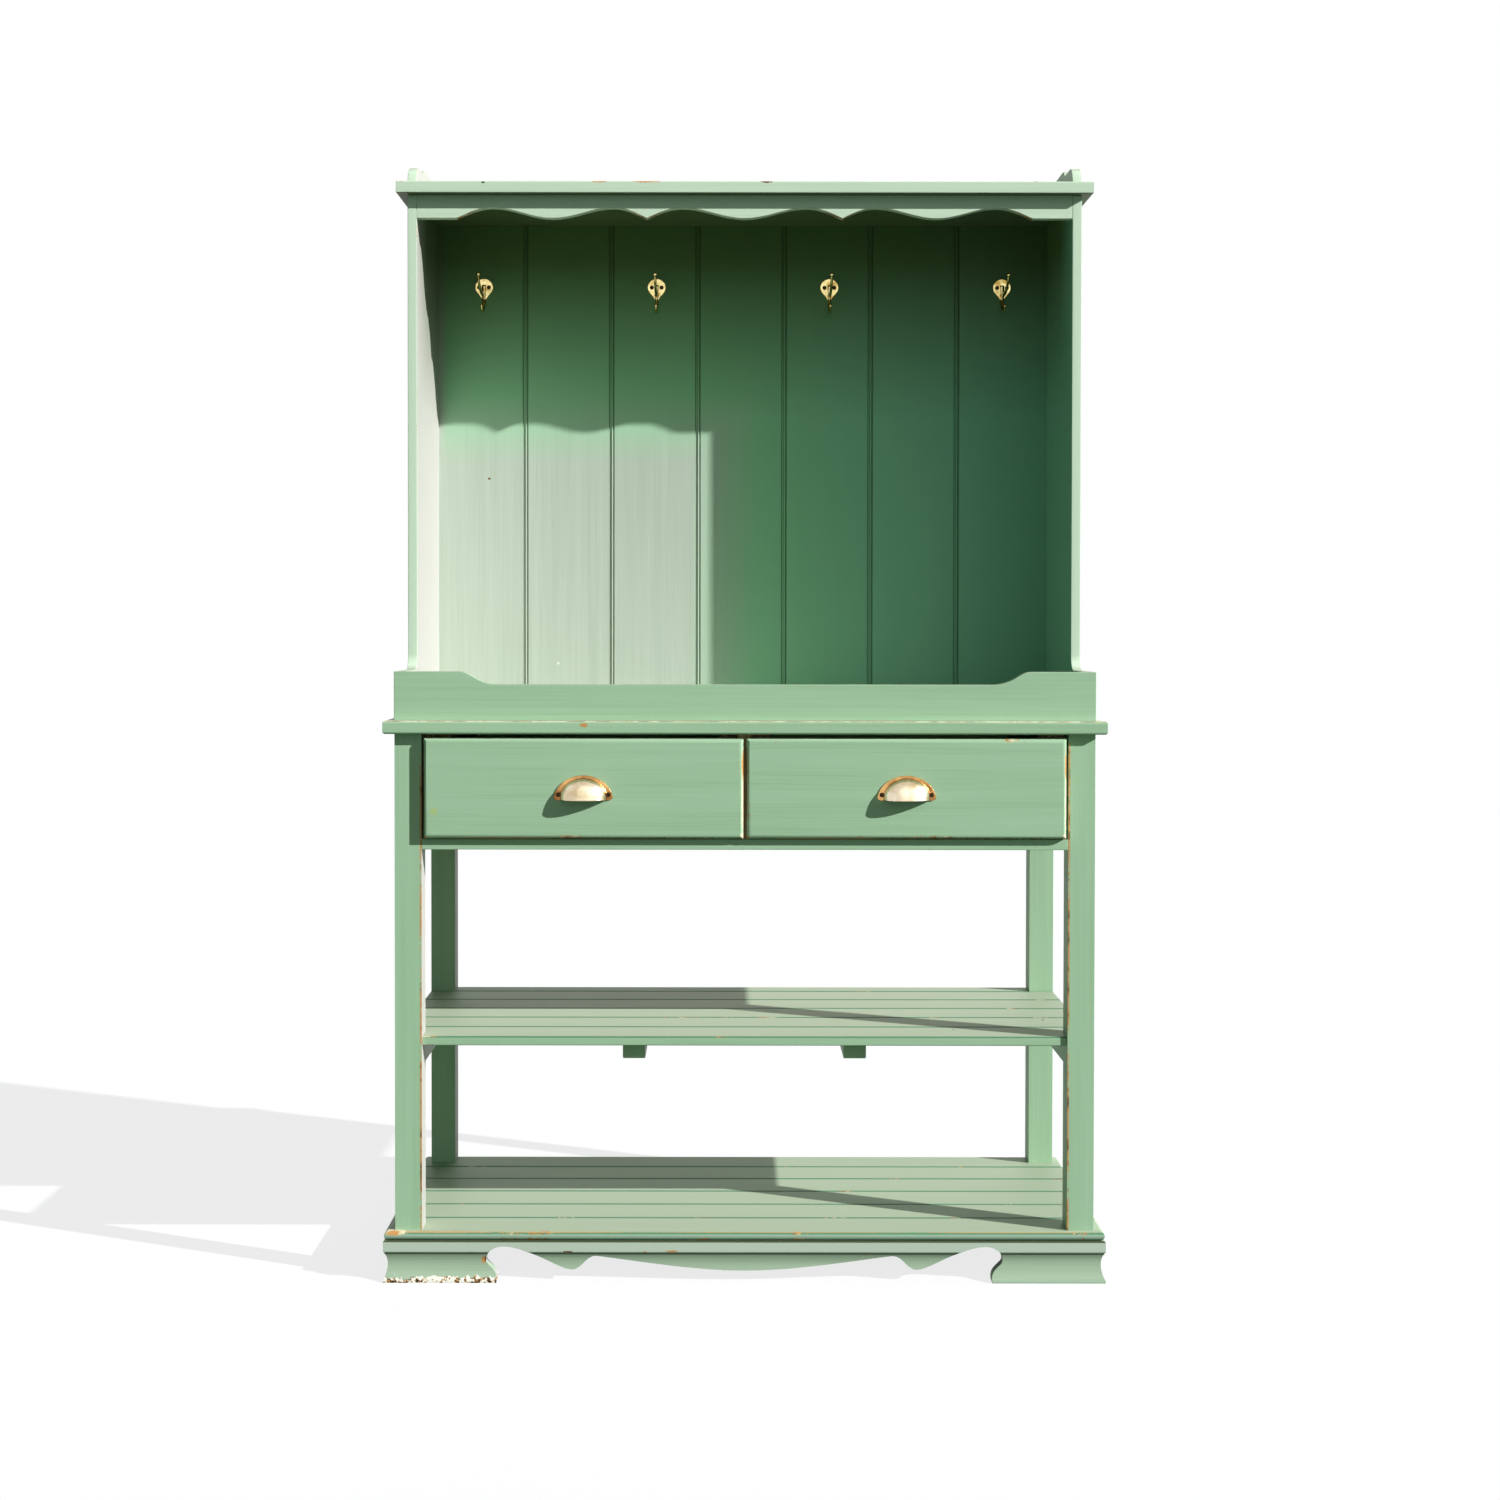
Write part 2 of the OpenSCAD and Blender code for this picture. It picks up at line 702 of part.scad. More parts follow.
// Lower edge of the valance from its middle to its straight end, as shares of that length and of the
// scallops' height: a broad drop in the middle, then arches with a pointed and a broad drop between
scallops = [[0, 0], [0.217, 1], [0.34, 0], [0.456, 1], [0.667, 0], [0.877, 1], [1, 0]];

// Height of the lower edge between two of those places: steep at the pointed drop and at the straight end
function scallop(i, t) =
    let (a = scallops[i][1], b = scallops[i + 1][1], falls = i == 1 || i == len(scallops) - 2)
    falls ? cos(90 * t) : i == 2 ? sin(90 * t) : a + (b - a) * (1 - cos(180 * t)) / 2;

module valance() {
    steps = 8;
    last = len(scallops) - 1;
    half = hutch_in - valance_end;
    edge = [for (i = [0:last - 1], k = [0:steps - 1]) let (t = k / steps)
        [half * (scallops[i][0] + (scallops[i + 1][0] - scallops[i][0]) * t), scallop_h * scallop(i, t)]];
    full = concat(edge, [[half, 0], [hutch_in, 0]]);
    top = valance_h;
    color(paint) placed() translate([0, 0, crown_z - top]) facing(hutch_front, hutch_front + valance_t)
        polygon(concat([for (i = [len(full) - 1:-1:1]) [-full[i][0], full[i][1]]], full,
            [[hutch_in, top], [-hutch_in, top]]));
}

// The two shaped upstands on the crown
module top_scrolls() {
    y = hutch_front;
    step = y + scroll_step;
    middle = step + scroll_run * 0.42;
    color(paint) placed() for (side = [-1, 1]) scale_x(side) translate([0, 0, crown_z + crown_t])
        lying(hutch_x - scroll_t, hutch_x) polygon(concat(
            [[y, 0]], arc([y + scroll_low, 0], scroll_low, 180, 90, 10),
            curve([[step, scroll_low], [middle, scroll_low], [middle, scroll_high],
                [step + scroll_run, scroll_high]], 8),
            [[hutch_rear, scroll_high], [hutch_rear, 0]]));
}

// A closed tube through rings of points, each ring in a plane across the width
module skin(rings, sides) {
    n = len(rings);
    points = [for (ring = rings) each ring];
    walls = [for (i = [0:n - 2], k = [0:sides - 1])
        let (a = i * sides + k, b = i * sides + (k + 1) % sides)
            each [[a, a + sides, b + sides], [a, b + sides, b]]];
    low = [for (k = [0:sides - 1]) k];
    high = [for (k = [sides - 1:-1:0]) (n - 1) * sides + k];
    polyhedron(points, concat([low], walls, [high]));
}

// A round prong that tapers along a path of n steps in depth and height. Its first ring lies flat in the
// plate that it grows from.
module prong(path, n, sides = 10) {
    rings = [for (i = [0:n])
        let (d = i == 0 ? [-1, 0] : path[min(i + 1, n)] - path[i - 1], u = d / norm(d),
            r = prong_r + (tip_r - prong_r) * i / n)
        [for (k = [0:sides - 1]) let (c = r * cos(360 * k / sides), s = r * sin(360 * k / sides))
            [c, path[i][0] + u[1] * s, path[i][1] - u[0] * s]]];
    skin(rings, sides);
}

// A hook: teardrop plate, stem, a long prong with a ball that rises, and a short prong that falls
module hook(i) {
    r = plate_w / 2;
    stem_r = prong_r * 0.8;
    dip = 10;
    upper_n = 14;
    lower_n = 10;
    upper = curve([[-plate_t / 2, -upper_root], [-upper_out * 0.35, -upper_root - dip / 2],
        [-upper_out * 0.85, upper_up - upper_root - dip], [-upper_out, upper_up]], upper_n);
    lower = curve([[-plate_t / 2, -lower_root], [-lower_out * 0.25, -lower_down - dip],
        [-lower_out * 0.7, -lower_down - 1.6 * dip], [-lower_out, -lower_down]], lower_n);
    color(cast_brass) placed() translate([hook_x(i), board_y, hook_z]) difference() {
        union() {
            facing(-plate_t, 0) polygon(concat(
                arc([0, 0], r, 0, 180, 20),
                curve([[-r, 0], [-r, -r * 0.7], [-stem_r, -r * 0.9], [-stem_r, -stem_l]], 8),
                curve([[stem_r, -stem_l], [stem_r, -r * 0.9], [r, -r * 0.7], [r, 0]], 8)));
            prong(upper, upper_n);
            prong(lower, lower_n);
            translate([0, upper[upper_n][0], upper[upper_n][1]]) sphere(r = ball_r, $fn = 24);
            translate([0, lower[lower_n][0], lower[lower_n][1]]) sphere(r = tip_r * 1.25, $fn = 24);
        }
        for (s = [-1, 1]) translate([s * hook_screw_gap / 2, 0, 0]) screw_hole(plate_t);
    }
}

// The countersunk hole for a screw through a cast plate of a given thickness
module screw_hole(plate) {
    rotate([90, 0, 0]) {
        cylinder(r = shank_r + screw_play, h = plate + over);
        translate([0, 0, plate - sink])
            cylinder(r1 = shank_r + screw_play, r2 = head_r + screw_play, h = sink);
    }
}

// A countersunk screw that lies along the depth, with its head flush with a plate in front of it
module screw(plate) {
    slot = head_r + over;
    rotate([90, 0, 0]) difference() {
        union() {
            translate([0, 0, -shank_l]) cylinder(r = shank_r, h = shank_l + plate - sink);
            translate([0, 0, plate - sink]) cylinder(r1 = shank_r, r2 = head_r, h = sink);
        }
        slab([-slot, -slot_w / 2, plate - slot_w], [slot, slot_w / 2, plate + over]);
    }
}

module hook_screws() {
    color(steel_dark) placed() for (i = [1:hooks], s = [-1, 1])
        translate([hook_x(i) + s * hook_screw_gap / 2, board_y, hook_z]) screw(plate_t);
}

// The middle of the left or the right drawer
function middle(side) = side * drawer_x;

// A drawer front, cushioned on its four front edges and grooved behind for the bottom
module drawer_front(side) {
    x = front_w / 2;
    color(paint) placed() translate([middle(side), -front_out, front_z]) difference() {
        intersection() {
            lying(-x, x) eased(front_t, front_h, front_r);
            linear_extrude(front_h) translate([-x, 0]) rotate(-90) mirror([1, 0]) eased_plan();
        }
        slab([-box_w / 2 + box_t - groove, front_t - groove, box_z - front_z + groove_up],
            [box_w / 2 - box_t + groove, front_t + over, box_z - front_z + groove_up + bottom_t]);
        for (s = [-1, 1]) translate([s * pull_screws / 2, -over, pull_screw_z - front_z])
            rotate([-90, 0, 0]) cylinder(r = shank_r, h = shank_l + over);
    }
}

// Plan of a drawer front, with its thickness along x and its width along y
module eased_plan() {
    r = front_r;
    w = front_w;
    polygon(concat(arc([r, r], r, 270, 180, 6), arc([r, w - r], r, 180, 90, 6),
        [[front_t, w], [front_t, 0]]));
}

// The two sides of a drawer box, each with the groove for the bottom and a housing for the back
module drawer_sides(side) {
    w = box_w / 2;
    g = box_z + groove_up;
    color(bare) placed() translate([middle(side), 0, 0]) difference() {
        for (s = [-1, 1]) scale_x(s) slab([w - box_t, box_y, box_z], [w, box_y + box_l, box_z + box_h]);
        slab([-w + box_t - groove, box_y - over, g],
            [w - box_t + groove, box_y + box_l + over, g + bottom_t]);
        back_board_of_box(over);
    }
}

// The back of a drawer box, which stands on the bottom; more is added to its top where it cuts a housing
module back_board_of_box(more) {
    w = box_w / 2 - box_t + groove;
    y = box_y + box_l - 2 * box_t;
    slab([-w, y, box_z + groove_up + bottom_t], [w, y + box_t, box_z + box_h + more]);
}

module drawer_back(side) {
    color(bare) placed() translate([middle(side), 0, 0]) back_board_of_box(0);
}

module drawer_bottom(side) {
    w = box_w / 2 - box_t + groove;
    g = box_z + groove_up;
    color(bare) placed() translate([middle(side), 0, 0])
        slab([-w, box_y - groove, g], [w, box_y + box_l, g + bottom_t]);
}

// The cup of a pull: a quarter of an ellipsoid, hollow, open below and behind.
// Meridians run from one end to the other, and turn from the flange down to the lip.
module cup(a, b, c, wall) {
    around = 24;
    over_top = 9;
    function point(i, j, t) = let (u = 180 * i / around, v = 90 * j / over_top)
        [(a - t) * cos(u), -(c - t) * sin(u) * sin(v), (b - t) * sin(u) * cos(v)];
    function at(shell, i, j) = i == 0 ? shell * total : i == around ? shell * total + 1 :
        shell * total + 2 + (i - 1) * (over_top + 1) + j;
    total = 2 + (around - 1) * (over_top + 1);
    points = [for (t = [0, wall]) each concat([point(0, 0, t), point(around, 0, t)],
        [for (i = [1:around - 1], j = [0:over_top]) point(i, j, t)])];
    function quad(p, q, r, s) = [[p, q, r], [p, r, s]];
    outer = [for (i = [0:around - 1], j = [0:over_top - 1])
        each tidy(quad(at(0, i, j), at(0, i, j + 1), at(0, i + 1, j + 1), at(0, i + 1, j)))];
    inner = [for (i = [0:around - 1], j = [0:over_top - 1])
        each tidy(quad(at(1, i, j), at(1, i + 1, j), at(1, i + 1, j + 1), at(1, i, j + 1)))];
    rims = [for (i = [0:around - 1]) each concat(
        quad(at(0, i, 0), at(0, i + 1, 0), at(1, i + 1, 0), at(1, i, 0)),
        quad(at(0, i, over_top), at(1, i, over_top), at(1, i + 1, over_top), at(0, i + 1, over_top)))];
    polyhedron(points, concat(outer, inner, rims));
}

// Leaves out the triangles that have shrunk to a line at the ends of the cup
function tidy(faces) = [for (f = faces) if (f[0] != f[1] && f[1] != f[2] && f[2] != f[0]) f];

// A cup pull: the cup on a flat flange that is drilled near its lower corners
module drawer_pull(side) {
    corner = flange_w * 0.6;
    color(cast_brass) placed() translate([middle(side), -front_out, pull_z]) difference() {
        union() {
            facing(-flange_t, 0) difference() {
                flange_outline(pull_w / 2, pull_h, corner);
                ellipse_half(cup_a - pull_wall, cup_b - pull_wall);
            }
            cup(cup_a, cup_b, pull_out, pull_wall);
        }
        for (s = [-1, 1]) translate([s * pull_screws / 2, 0, pull_screw_up]) screw_hole(flange_t);
    }
}

// Upper half of an ellipse on the line through its middle
module ellipse_half(a, b) {
    polygon(concat([for (i = [0:24]) [a * cos(180 * i / 24), b * sin(180 * i / 24)]]));
}

// Outline of the flange: half an ellipse whose lower corners are rounded
module flange_outline(w, h, r) {
    start = asin(r / h);
    polygon(concat(arc([w - r, r], r, -90, 0, 4),
        [for (i = [1:23]) let (a = start + (180 - 2 * start) * i / 24) [w * cos(a), h * sin(a)]],
        arc([-w + r, r], r, 180, 270, 4)));
}

module drawer_screws(side) {
    color(steel_dark) placed() for (s = [-1, 1])
        translate([middle(side) + s * pull_screws / 2, -front_out, pull_screw_z]) screw(flange_t);
}

plinth_front();
plinth_side(-1);  // plinth_left
plinth_side(1);  // plinth_right
plinth_rear();
plinth_blocks();
for (i = [1:slats]) base_slat(i);
leg(-1, false);  // leg_front_left
leg(1, false);  // leg_front_right
leg(-1, true);  // leg_rear_left
leg(1, true);  // leg_rear_right
shelf_rails();
shelf_battens();
for (i = [1:slats]) shelf_slat(i);
side_aprons();
rear_apron();
drawer_rail();
drawer_divider();
drawer_runners();
countertop();
gallery_front();
hutch_side(-1);  // hutch_side_left
hutch_side(1);  // hutch_side_right
for (i = [1:boards]) back_board(i);
hutch_top();
valance();
top_scrolls();
for (i = [1:hooks]) hook(i);
hook_screws();
for (side = [-1, 1]) {
    name = str("drawer_", sides[(side + 1) / 2], "_");
    drawer_front(side);
    drawer_sides(side);
    drawer_back(side);
    drawer_bottom(side);
    drawer_pull(side);
    drawer_screws(side);
}
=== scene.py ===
# %% [markdown]
# A painted potting bench with a hutch
#
# The bench is a real piece of joinery: square legs, a moulded plinth, slatted shelves, two drawers and
# a tall hutch with a beaded back. All of its wooden pieces come from the construction model at their
# true size. This lesson dresses them. It rounds their edges, brushes on the sage green paint, wears it
# through where hands and boots have touched it, and casts the brass pulls and coat hooks again with
# softer forms than a construction model needs.

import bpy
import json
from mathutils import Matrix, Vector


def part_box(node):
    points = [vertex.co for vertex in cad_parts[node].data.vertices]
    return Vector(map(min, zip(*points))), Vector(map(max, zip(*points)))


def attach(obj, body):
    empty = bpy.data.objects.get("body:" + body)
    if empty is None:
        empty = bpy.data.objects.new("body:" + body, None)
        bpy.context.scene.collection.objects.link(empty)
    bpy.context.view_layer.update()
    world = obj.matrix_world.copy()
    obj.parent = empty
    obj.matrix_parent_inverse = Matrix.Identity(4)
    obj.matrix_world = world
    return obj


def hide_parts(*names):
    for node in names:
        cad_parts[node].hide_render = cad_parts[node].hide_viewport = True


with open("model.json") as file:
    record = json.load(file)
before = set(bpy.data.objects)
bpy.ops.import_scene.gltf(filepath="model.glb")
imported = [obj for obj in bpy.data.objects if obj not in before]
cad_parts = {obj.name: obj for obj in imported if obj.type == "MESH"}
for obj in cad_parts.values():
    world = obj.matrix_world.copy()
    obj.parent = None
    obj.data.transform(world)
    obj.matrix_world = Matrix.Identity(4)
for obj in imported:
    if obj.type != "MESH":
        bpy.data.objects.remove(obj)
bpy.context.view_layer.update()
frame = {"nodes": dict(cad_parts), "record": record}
nodes = frame["nodes"]

# %% Libraries and the scene's own settings
import json
import math

import bmesh
import bpy
from mathutils import Vector

scene = bpy.context.scene
scene.view_settings.view_transform = "Standard"
MM = 0.001

# %% [markdown]
# The camera
#
# The photograph was taken from the front, a little left of the middle and at chest height. The lens
# was tilted down by about one degree, so upright lines come out almost upright. The picture was then
# cropped below its own middle, which a small lens shift repeats. A camera that is tilted further
# could frame the same shelves, but the legs would lean.

# %% Camera
PHOTO_SIDE = 1500
FOCAL_PIXELS = 2130
MIDDLE_PIXEL = (722.2, 661.1)
EYE = Vector((-0.0374, -3.6926, 1.0794))
TILT_DOWN = math.radians(1.04)
ROLL = math.radians(-0.065)

lens = bpy.data.cameras.new("camera")
lens.sensor_width = 36
lens.lens = lens.sensor_width * FOCAL_PIXELS / PHOTO_SIDE
lens.shift_x = (PHOTO_SIDE / 2 - MIDDLE_PIXEL[0]) / PHOTO_SIDE
lens.shift_y = (MIDDLE_PIXEL[1] - PHOTO_SIDE / 2) / PHOTO_SIDE
camera = bpy.data.objects.new("camera", lens)
camera.location = EYE
camera.rotation_euler = (math.pi / 2 - TILT_DOWN, ROLL, 0)
scene.collection.objects.link(camera)
scene.camera = camera
print("lens", round(lens.lens, 1), "mm, shift", round(lens.shift_x, 3), round(lens.shift_y, 3))

# %% [markdown]
# Small helpers for shader nodes
#
# A paint or a metal is a short program made of nodes. It could be wired by hand, one link at a time,
# but the wiring hides the idea. Here one helper adds a node and fills its inputs, and a few more give
# names to what a finisher does: draw out streaks, set one tone against another, keep a part of a
# pattern.

# %% Helpers for shader nodes
def add(tree, kind, inputs=None, **settings):
    """Adds a node. An input may be a number, a colour or the output of another node."""
    made = tree.nodes.new(kind)
    for name, value in settings.items():
        setattr(made, name, value)
    for key, value in (inputs or {}).items():
        if isinstance(value, bpy.types.NodeSocket):
            tree.links.new(value, made.inputs[key])
        else:
            made.inputs[key].default_value = value
    return made


def combine(tree, operation, first, second=0.0):
    """One sum on two numbers."""
    return add(tree, "ShaderNodeMath", {0: first, 1: second}, operation=operation).outputs[0]


def times(tree, first, *others):
    """Shares multiplied with each other: 1 only where all of them are 1."""
    for share in others:
        first = combine(tree, "MULTIPLY", first, share)
    return first


def move(tree, operation, first, second):
    """One sum on two places, or on all three numbers of a place at once."""
    return add(tree, "ShaderNodeVectorMath", {0: first, 1: second}, operation=operation).outputs[0]


def keep(tree, value, low, high, top=1.0):
    """0 where the value is at low, top where it is at high, and a straight slope between."""
    sockets = {"Value": value, "From Min": low, "From Max": high, "To Max": top}
    return add(tree, "ShaderNodeMapRange", sockets).outputs["Result"]


def mix(tree, share, first, second):
    """The first colour where the share is 0 and the second where it is 1."""
    made = add(tree, "ShaderNodeMix", {0: share, 6: first, 7: second}, data_type="RGBA")
    return made.outputs[2]


def tones(tree, value, stops):
    """A ramp through several colours."""
    made = add(tree, "ShaderNodeValToRGB", {"Fac": value})
    band = made.color_ramp.elements
    while len(band) < len(stops):
        band.new(1.0)
    for element, (where, colour) in zip(band, stops):
        element.position = where
        element.color = colour
    return made.outputs["Color"]


def linear(red, green, blue):
    """A colour as it looks on a screen, 0 to 255, turned into the light that it stands for."""
    def light(value):
        share = value / 255
        return share / 12.92 if share <= 0.04045 else ((share + 0.055) / 1.055) ** 2.4
    return (light(red), light(green), light(blue), 1.0)


def new_finish(name, roughness, metallic=0.0):
    """A material with one Principled shader. Gives back the material, its nodes and that shader."""
    made = bpy.data.materials.new(name)
    made.use_nodes = True
    shader = made.node_tree.nodes["Principled BSDF"]
    shader.inputs["Roughness"].default_value = roughness
    shader.inputs["Metallic"].default_value = metallic
    return made, made.node_tree, shader


print("helpers ready")

# %% [markdown]
# Patterns that follow the wood
#
# Every board is cut from another part of a tree, so no two may share a pattern. Each piece therefore
# starts at its own random place in one endless pattern. Streaks are plain noise that has been drawn
# out along the board, as a brush and the grain under it both do.

# %% Patterns
def on_piece(tree):
    """Points on the piece, in metres. The wooden pieces share one frame, so this is a place on the bench."""
    return add(tree, "ShaderNodeTexCoord").outputs["Object"]


def place_on(tree):
    """The place on the bench, taken apart into X, Y and Z."""
    return add(tree, "ShaderNodeSeparateXYZ", {0: on_piece(tree)}).outputs


def own_place(tree):
    """The same points, moved by an amount of the piece's own."""
    chance = add(tree, "ShaderNodeObjectInfo").outputs["Random"]
    return move(tree, "ADD", on_piece(tree), move(tree, "MULTIPLY", chance, (41.0, 67.0, 23.0)))


def streaks(tree, where, along, length, width, detail=3.0):
    """Noise drawn out along an axis. One streak is about that long and that wide, in metres."""
    sizes = [1 / width] * 3
    sizes["XYZ".index(along)] = 1 / length
    drawn = move(tree, "MULTIPLY", where, sizes)
    return add(tree, "ShaderNodeTexNoise", {"Vector": drawn, "Scale": 1.0, "Detail": detail}).outputs["Fac"]


def clouds(tree, where, size, detail=3.0):
    """Plain noise with patches about that large, in metres."""
    sockets = {"Vector": where, "Scale": 1 / size, "Detail": detail}
    return add(tree, "ShaderNodeTexNoise", sockets).outputs["Fac"]


def facing(tree):
    """The direction that a face looks in, taken apart into X, Y and Z."""
    looks = add(tree, "ShaderNodeNewGeometry").outputs["True Normal"]
    return add(tree, "ShaderNodeSeparateXYZ", {0: looks}).outputs


SQUARE_TO_SLANTED = (0.97, 0.90)


def edge_faces(tree):
    """0 on faces that are square to an axis, and 1 on the small faces that round their edges."""
    looks = facing(tree)
    x, y, z = [combine(tree, "ABSOLUTE", looks[axis]) for axis in "XYZ"]
    return keep(tree, combine(tree, "MAXIMUM", combine(tree, "MAXIMUM", x, y), z), *SQUARE_TO_SLANTED)


print("patterns ready")

# %% [markdown]
# The sage green paint
#
# The paint was brushed on thinly along each board and has dried to an even satin. Seen closely it has
# streaks a hair wide that catch the light, slow changes of tone, and a few knots that have bled
# through in yellow. The hutch stands in more light than the rest and has faded. The inner faces on
# the left, which look at the sun, are painted paler still, as a painted highlight. Faces that look up
# are paler and beiger, partly dusty and partly painted sunlight. A picture of paint could be laid
# over the boards, but it would repeat and blur. A paint made of noise is sharp at any distance.

# %% The colours of paint, wood, dirt and painted light
SAGE = (linear(153, 185, 150), linear(159, 191, 158), linear(164, 196, 163))
FADED = (linear(197, 216, 193), linear(202, 221, 198), linear(206, 225, 202))
GREYED = (linear(157, 177, 152), linear(162, 182, 158), linear(166, 186, 162))
DUST_AND_SUN_TONE = linear(171, 180, 156)
SCRUBBED = linear(204, 206, 192)
PAINTED_SUN_GLARE = linear(176, 171, 168)
SHADE_GREEN_NEAR_SUN = linear(144, 214, 160)
DEEP_SHADE_GREEN = linear(106, 172, 142)
TOP_SHADE_OLIVE = linear(66, 90, 24)
UNDERSIDE_SHADE_OLIVE = linear(66, 84, 40)
CORNER_SHADE = linear(48, 60, 28)
LINE_PINE = linear(190, 152, 106)
GAP_SHADE_GREEN = linear(74, 126, 94)
NOSE_SHADE_GREEN = linear(151, 178, 155)
BAND_GREY = linear(186, 200, 184)
BACK_GREENS = (linear(173, 185, 170), linear(179, 190, 176), linear(184, 195, 181))
KNOT_YELLOW = linear(170, 190, 130)
CREAM_WEAR_AND_HIGHLIGHT = linear(222, 208, 176)
ORANGE_PINE = linear(196, 144, 86)
BROWN_WEAR_AND_SHADE = linear(112, 76, 42)
QUIRK_SHADE = linear(70, 90, 62)
WHITE_CHIP = linear(236, 234, 224)
SOOT = linear(40, 42, 26)


def wear_colour(tree, where, first=CREAM_WEAR_AND_HIGHLIGHT):
    """What shows where the paint is gone: undercoat, then pine, then dirty pine. The cream undercoat also
    stands for a painted highlight where an edge catches the sun.
    """
    depth = clouds(tree, where, 0.018, 4.0)
    return tones(tree, depth, [(0.40, first), (0.50, ORANGE_PINE), (0.66, BROWN_WEAR_AND_SHADE)])


print("the tones of paint are mixed")

# %% Streaks, dust and knots
THREE_TONES = (0.36, 0.50, 0.66)
DUST_AND_SUN_SHARE = 0.8
SUN_GLARE_SHARE = 0.9
KNOTS_PER_METRE = 3.5


def brushed_green(tree, where, tone, greens, top_tone):
    """Green in three close tones, paler where it looks up, painted paler still where it looks at the sun,
    with a knot here and there.
    """
    green = tones(tree, tone, list(zip(THREE_TONES, greens)))
    looks = facing(tree)
    # Faces that look up take a paler, beiger tone: dustiness, and partly painted sunlight on the tops.
    green = mix(tree, keep(tree, looks["Z"], 0.7, 0.95, DUST_AND_SUN_SHARE), green, top_tone)
    # Faces on the left half that look towards the sun are painted paler still: a painted highlight of the
    # sun.
    left_half = keep(tree, place_on(tree)["X"], 10 * MM, -10 * MM, SUN_GLARE_SHARE)
    green = mix(tree, times(tree, keep(tree, looks["X"], 0.75, 0.98), left_half), green, PAINTED_SUN_GLARE)
    cell = add(tree, "ShaderNodeTexVoronoi", {"Vector": where, "Scale": KNOTS_PER_METRE}).outputs
    lucky = add(tree, "ShaderNodeSeparateColor", {0: cell["Color"]}).outputs["Red"]
    near = keep(tree, cell["Distance"], 0.035, 0.0, 0.5)
    knot = times(tree, near, keep(tree, lucky, 0.70, 0.75))
    return mix(tree, knot, green, KNOT_YELLOW)


def strip(tree, axis, low, high, soft=0.6 * MM):
    """1 between two places along an axis of the bench and 0 outside them."""
    place = place_on(tree)[axis]
    after = keep(tree, place, low - soft, low + soft)
    return times(tree, after, keep(tree, place, high + soft, high - soft))


def mark(tree, centre, reach):
    """1 near a place on the bench and 0 outside a ragged oval around it, both in metres."""
    away = move(tree, "DIVIDE", move(tree, "SUBTRACT", on_piece(tree), centre), reach)
    far = add(tree, "ShaderNodeVectorMath", {0: away}, operation="LENGTH").outputs["Value"]
    rough = times(tree, clouds(tree, on_piece(tree), 0.004, 4.0), 1.6)
    return keep(tree, combine(tree, "ADD", far, rough), 1.9, 1.6)


print("brushes ready")

# %% [markdown]
# Wear and painted highlight that find their own edges
#
# Paint doesn't rub off evenly. It goes first where an edge is touched, and what touches it depends on
# the edge: sleeves on the worktop, knees on the inner corners of the legs, the fingers that do the
# dusting under the valance. The cream along the worktop's top front edge and under the valance is
# partly that wear and partly a painted highlight, where the rounded edge catches the sun. The edges
# could be painted by hand, one after another. Here a rule looks at the direction and the place of each
# small rounded face, which every board has along its edges, and decides whether it wears.

# %% Which edges have lost their paint
LEG_EDGE = 0.5295
QUIRK_SHADE_SHARE = 0.6
WORN_AND_LIT_EDGES = {
    "rare": (0.81, 0.85),
    "below": (0.30, 0.60),
    "above": (0.30, 0.60),
    "inner": (0.50, 0.62),
}


def edges_that_wear(tree, kind):
    """1 on the rounded faces that a kind of wear reaches: all, those below, those above or those inside. The
    cream on those below and above is partly a painted highlight.
    """
    if kind == "rare":
        return 1.0
    looks = facing(tree)
    if kind == "below":
        return keep(tree, looks["Z"], -0.2, -0.5)
    if kind == "above":
        return times(tree, keep(tree, looks["Z"], 0.60, 0.80), keep(tree, looks["Y"], -0.1, -0.3))
    side = combine(tree, "ABSOLUTE", place_on(tree)["X"])
    near = keep(tree, side, LEG_EDGE + 2.1 * MM, LEG_EDGE + 1.0 * MM)
    return times(tree, near, keep(tree, combine(tree, "ABSOLUTE", looks["X"]), *SQUARE_TO_SLANTED))


def lost_paint(tree, where, kind):
    """How much of the paint is gone, from 0 to 1. On edges that look up and forward, and on those that look
    down, it also stands for a painted highlight.
    """
    fine = times(tree, clouds(tree, where, 0.005, 2.0), 0.30)
    patches = combine(tree, "ADD", clouds(tree, where, 0.07, 2.0), fine)
    edge = 1.0 if kind == "inner" else edge_faces(tree)
    return times(tree, edge, keep(tree, patches, *WORN_AND_LIT_EDGES[kind]), edges_that_wear(tree, kind))


print("kinds of wear:", ", ".join(WORN_AND_LIT_EDGES))

# %% [markdown]
# Paint that carries painted shade by its place
#
# The same can of paint was used inside the hutch and out. The sun reaches the lower left of the back.
# Where it doesn't reach, on the right side and under the crown, the paint is mixed deeper green as a
# painted shade, and dark olive at the top as a painted shade under the crown. Another colour for each
# board would end at the joints, and the shade on the real boards doesn't. So the paint asks where on
# the bench a point lies, and blends from the sunlit tone into the painted shade.

# %% Painted shade of the hutch
INNER_FACES = (0.5585, 0.5575)
PAST_LEFT_SIDE = (-0.556, -0.54)
ABOVE_SUN = (1.37, 1.50)
RIGHT_OF_SUN = (-0.10, 0.03)
DEEPER_TO_RIGHT = (-0.10, 0.45)
TOP_SHADE_RISES = (1.45, 1.74)
TOP_SHADE_GOES_BACK = (-0.07, 0.07)
FULL_SHADE = 0.9


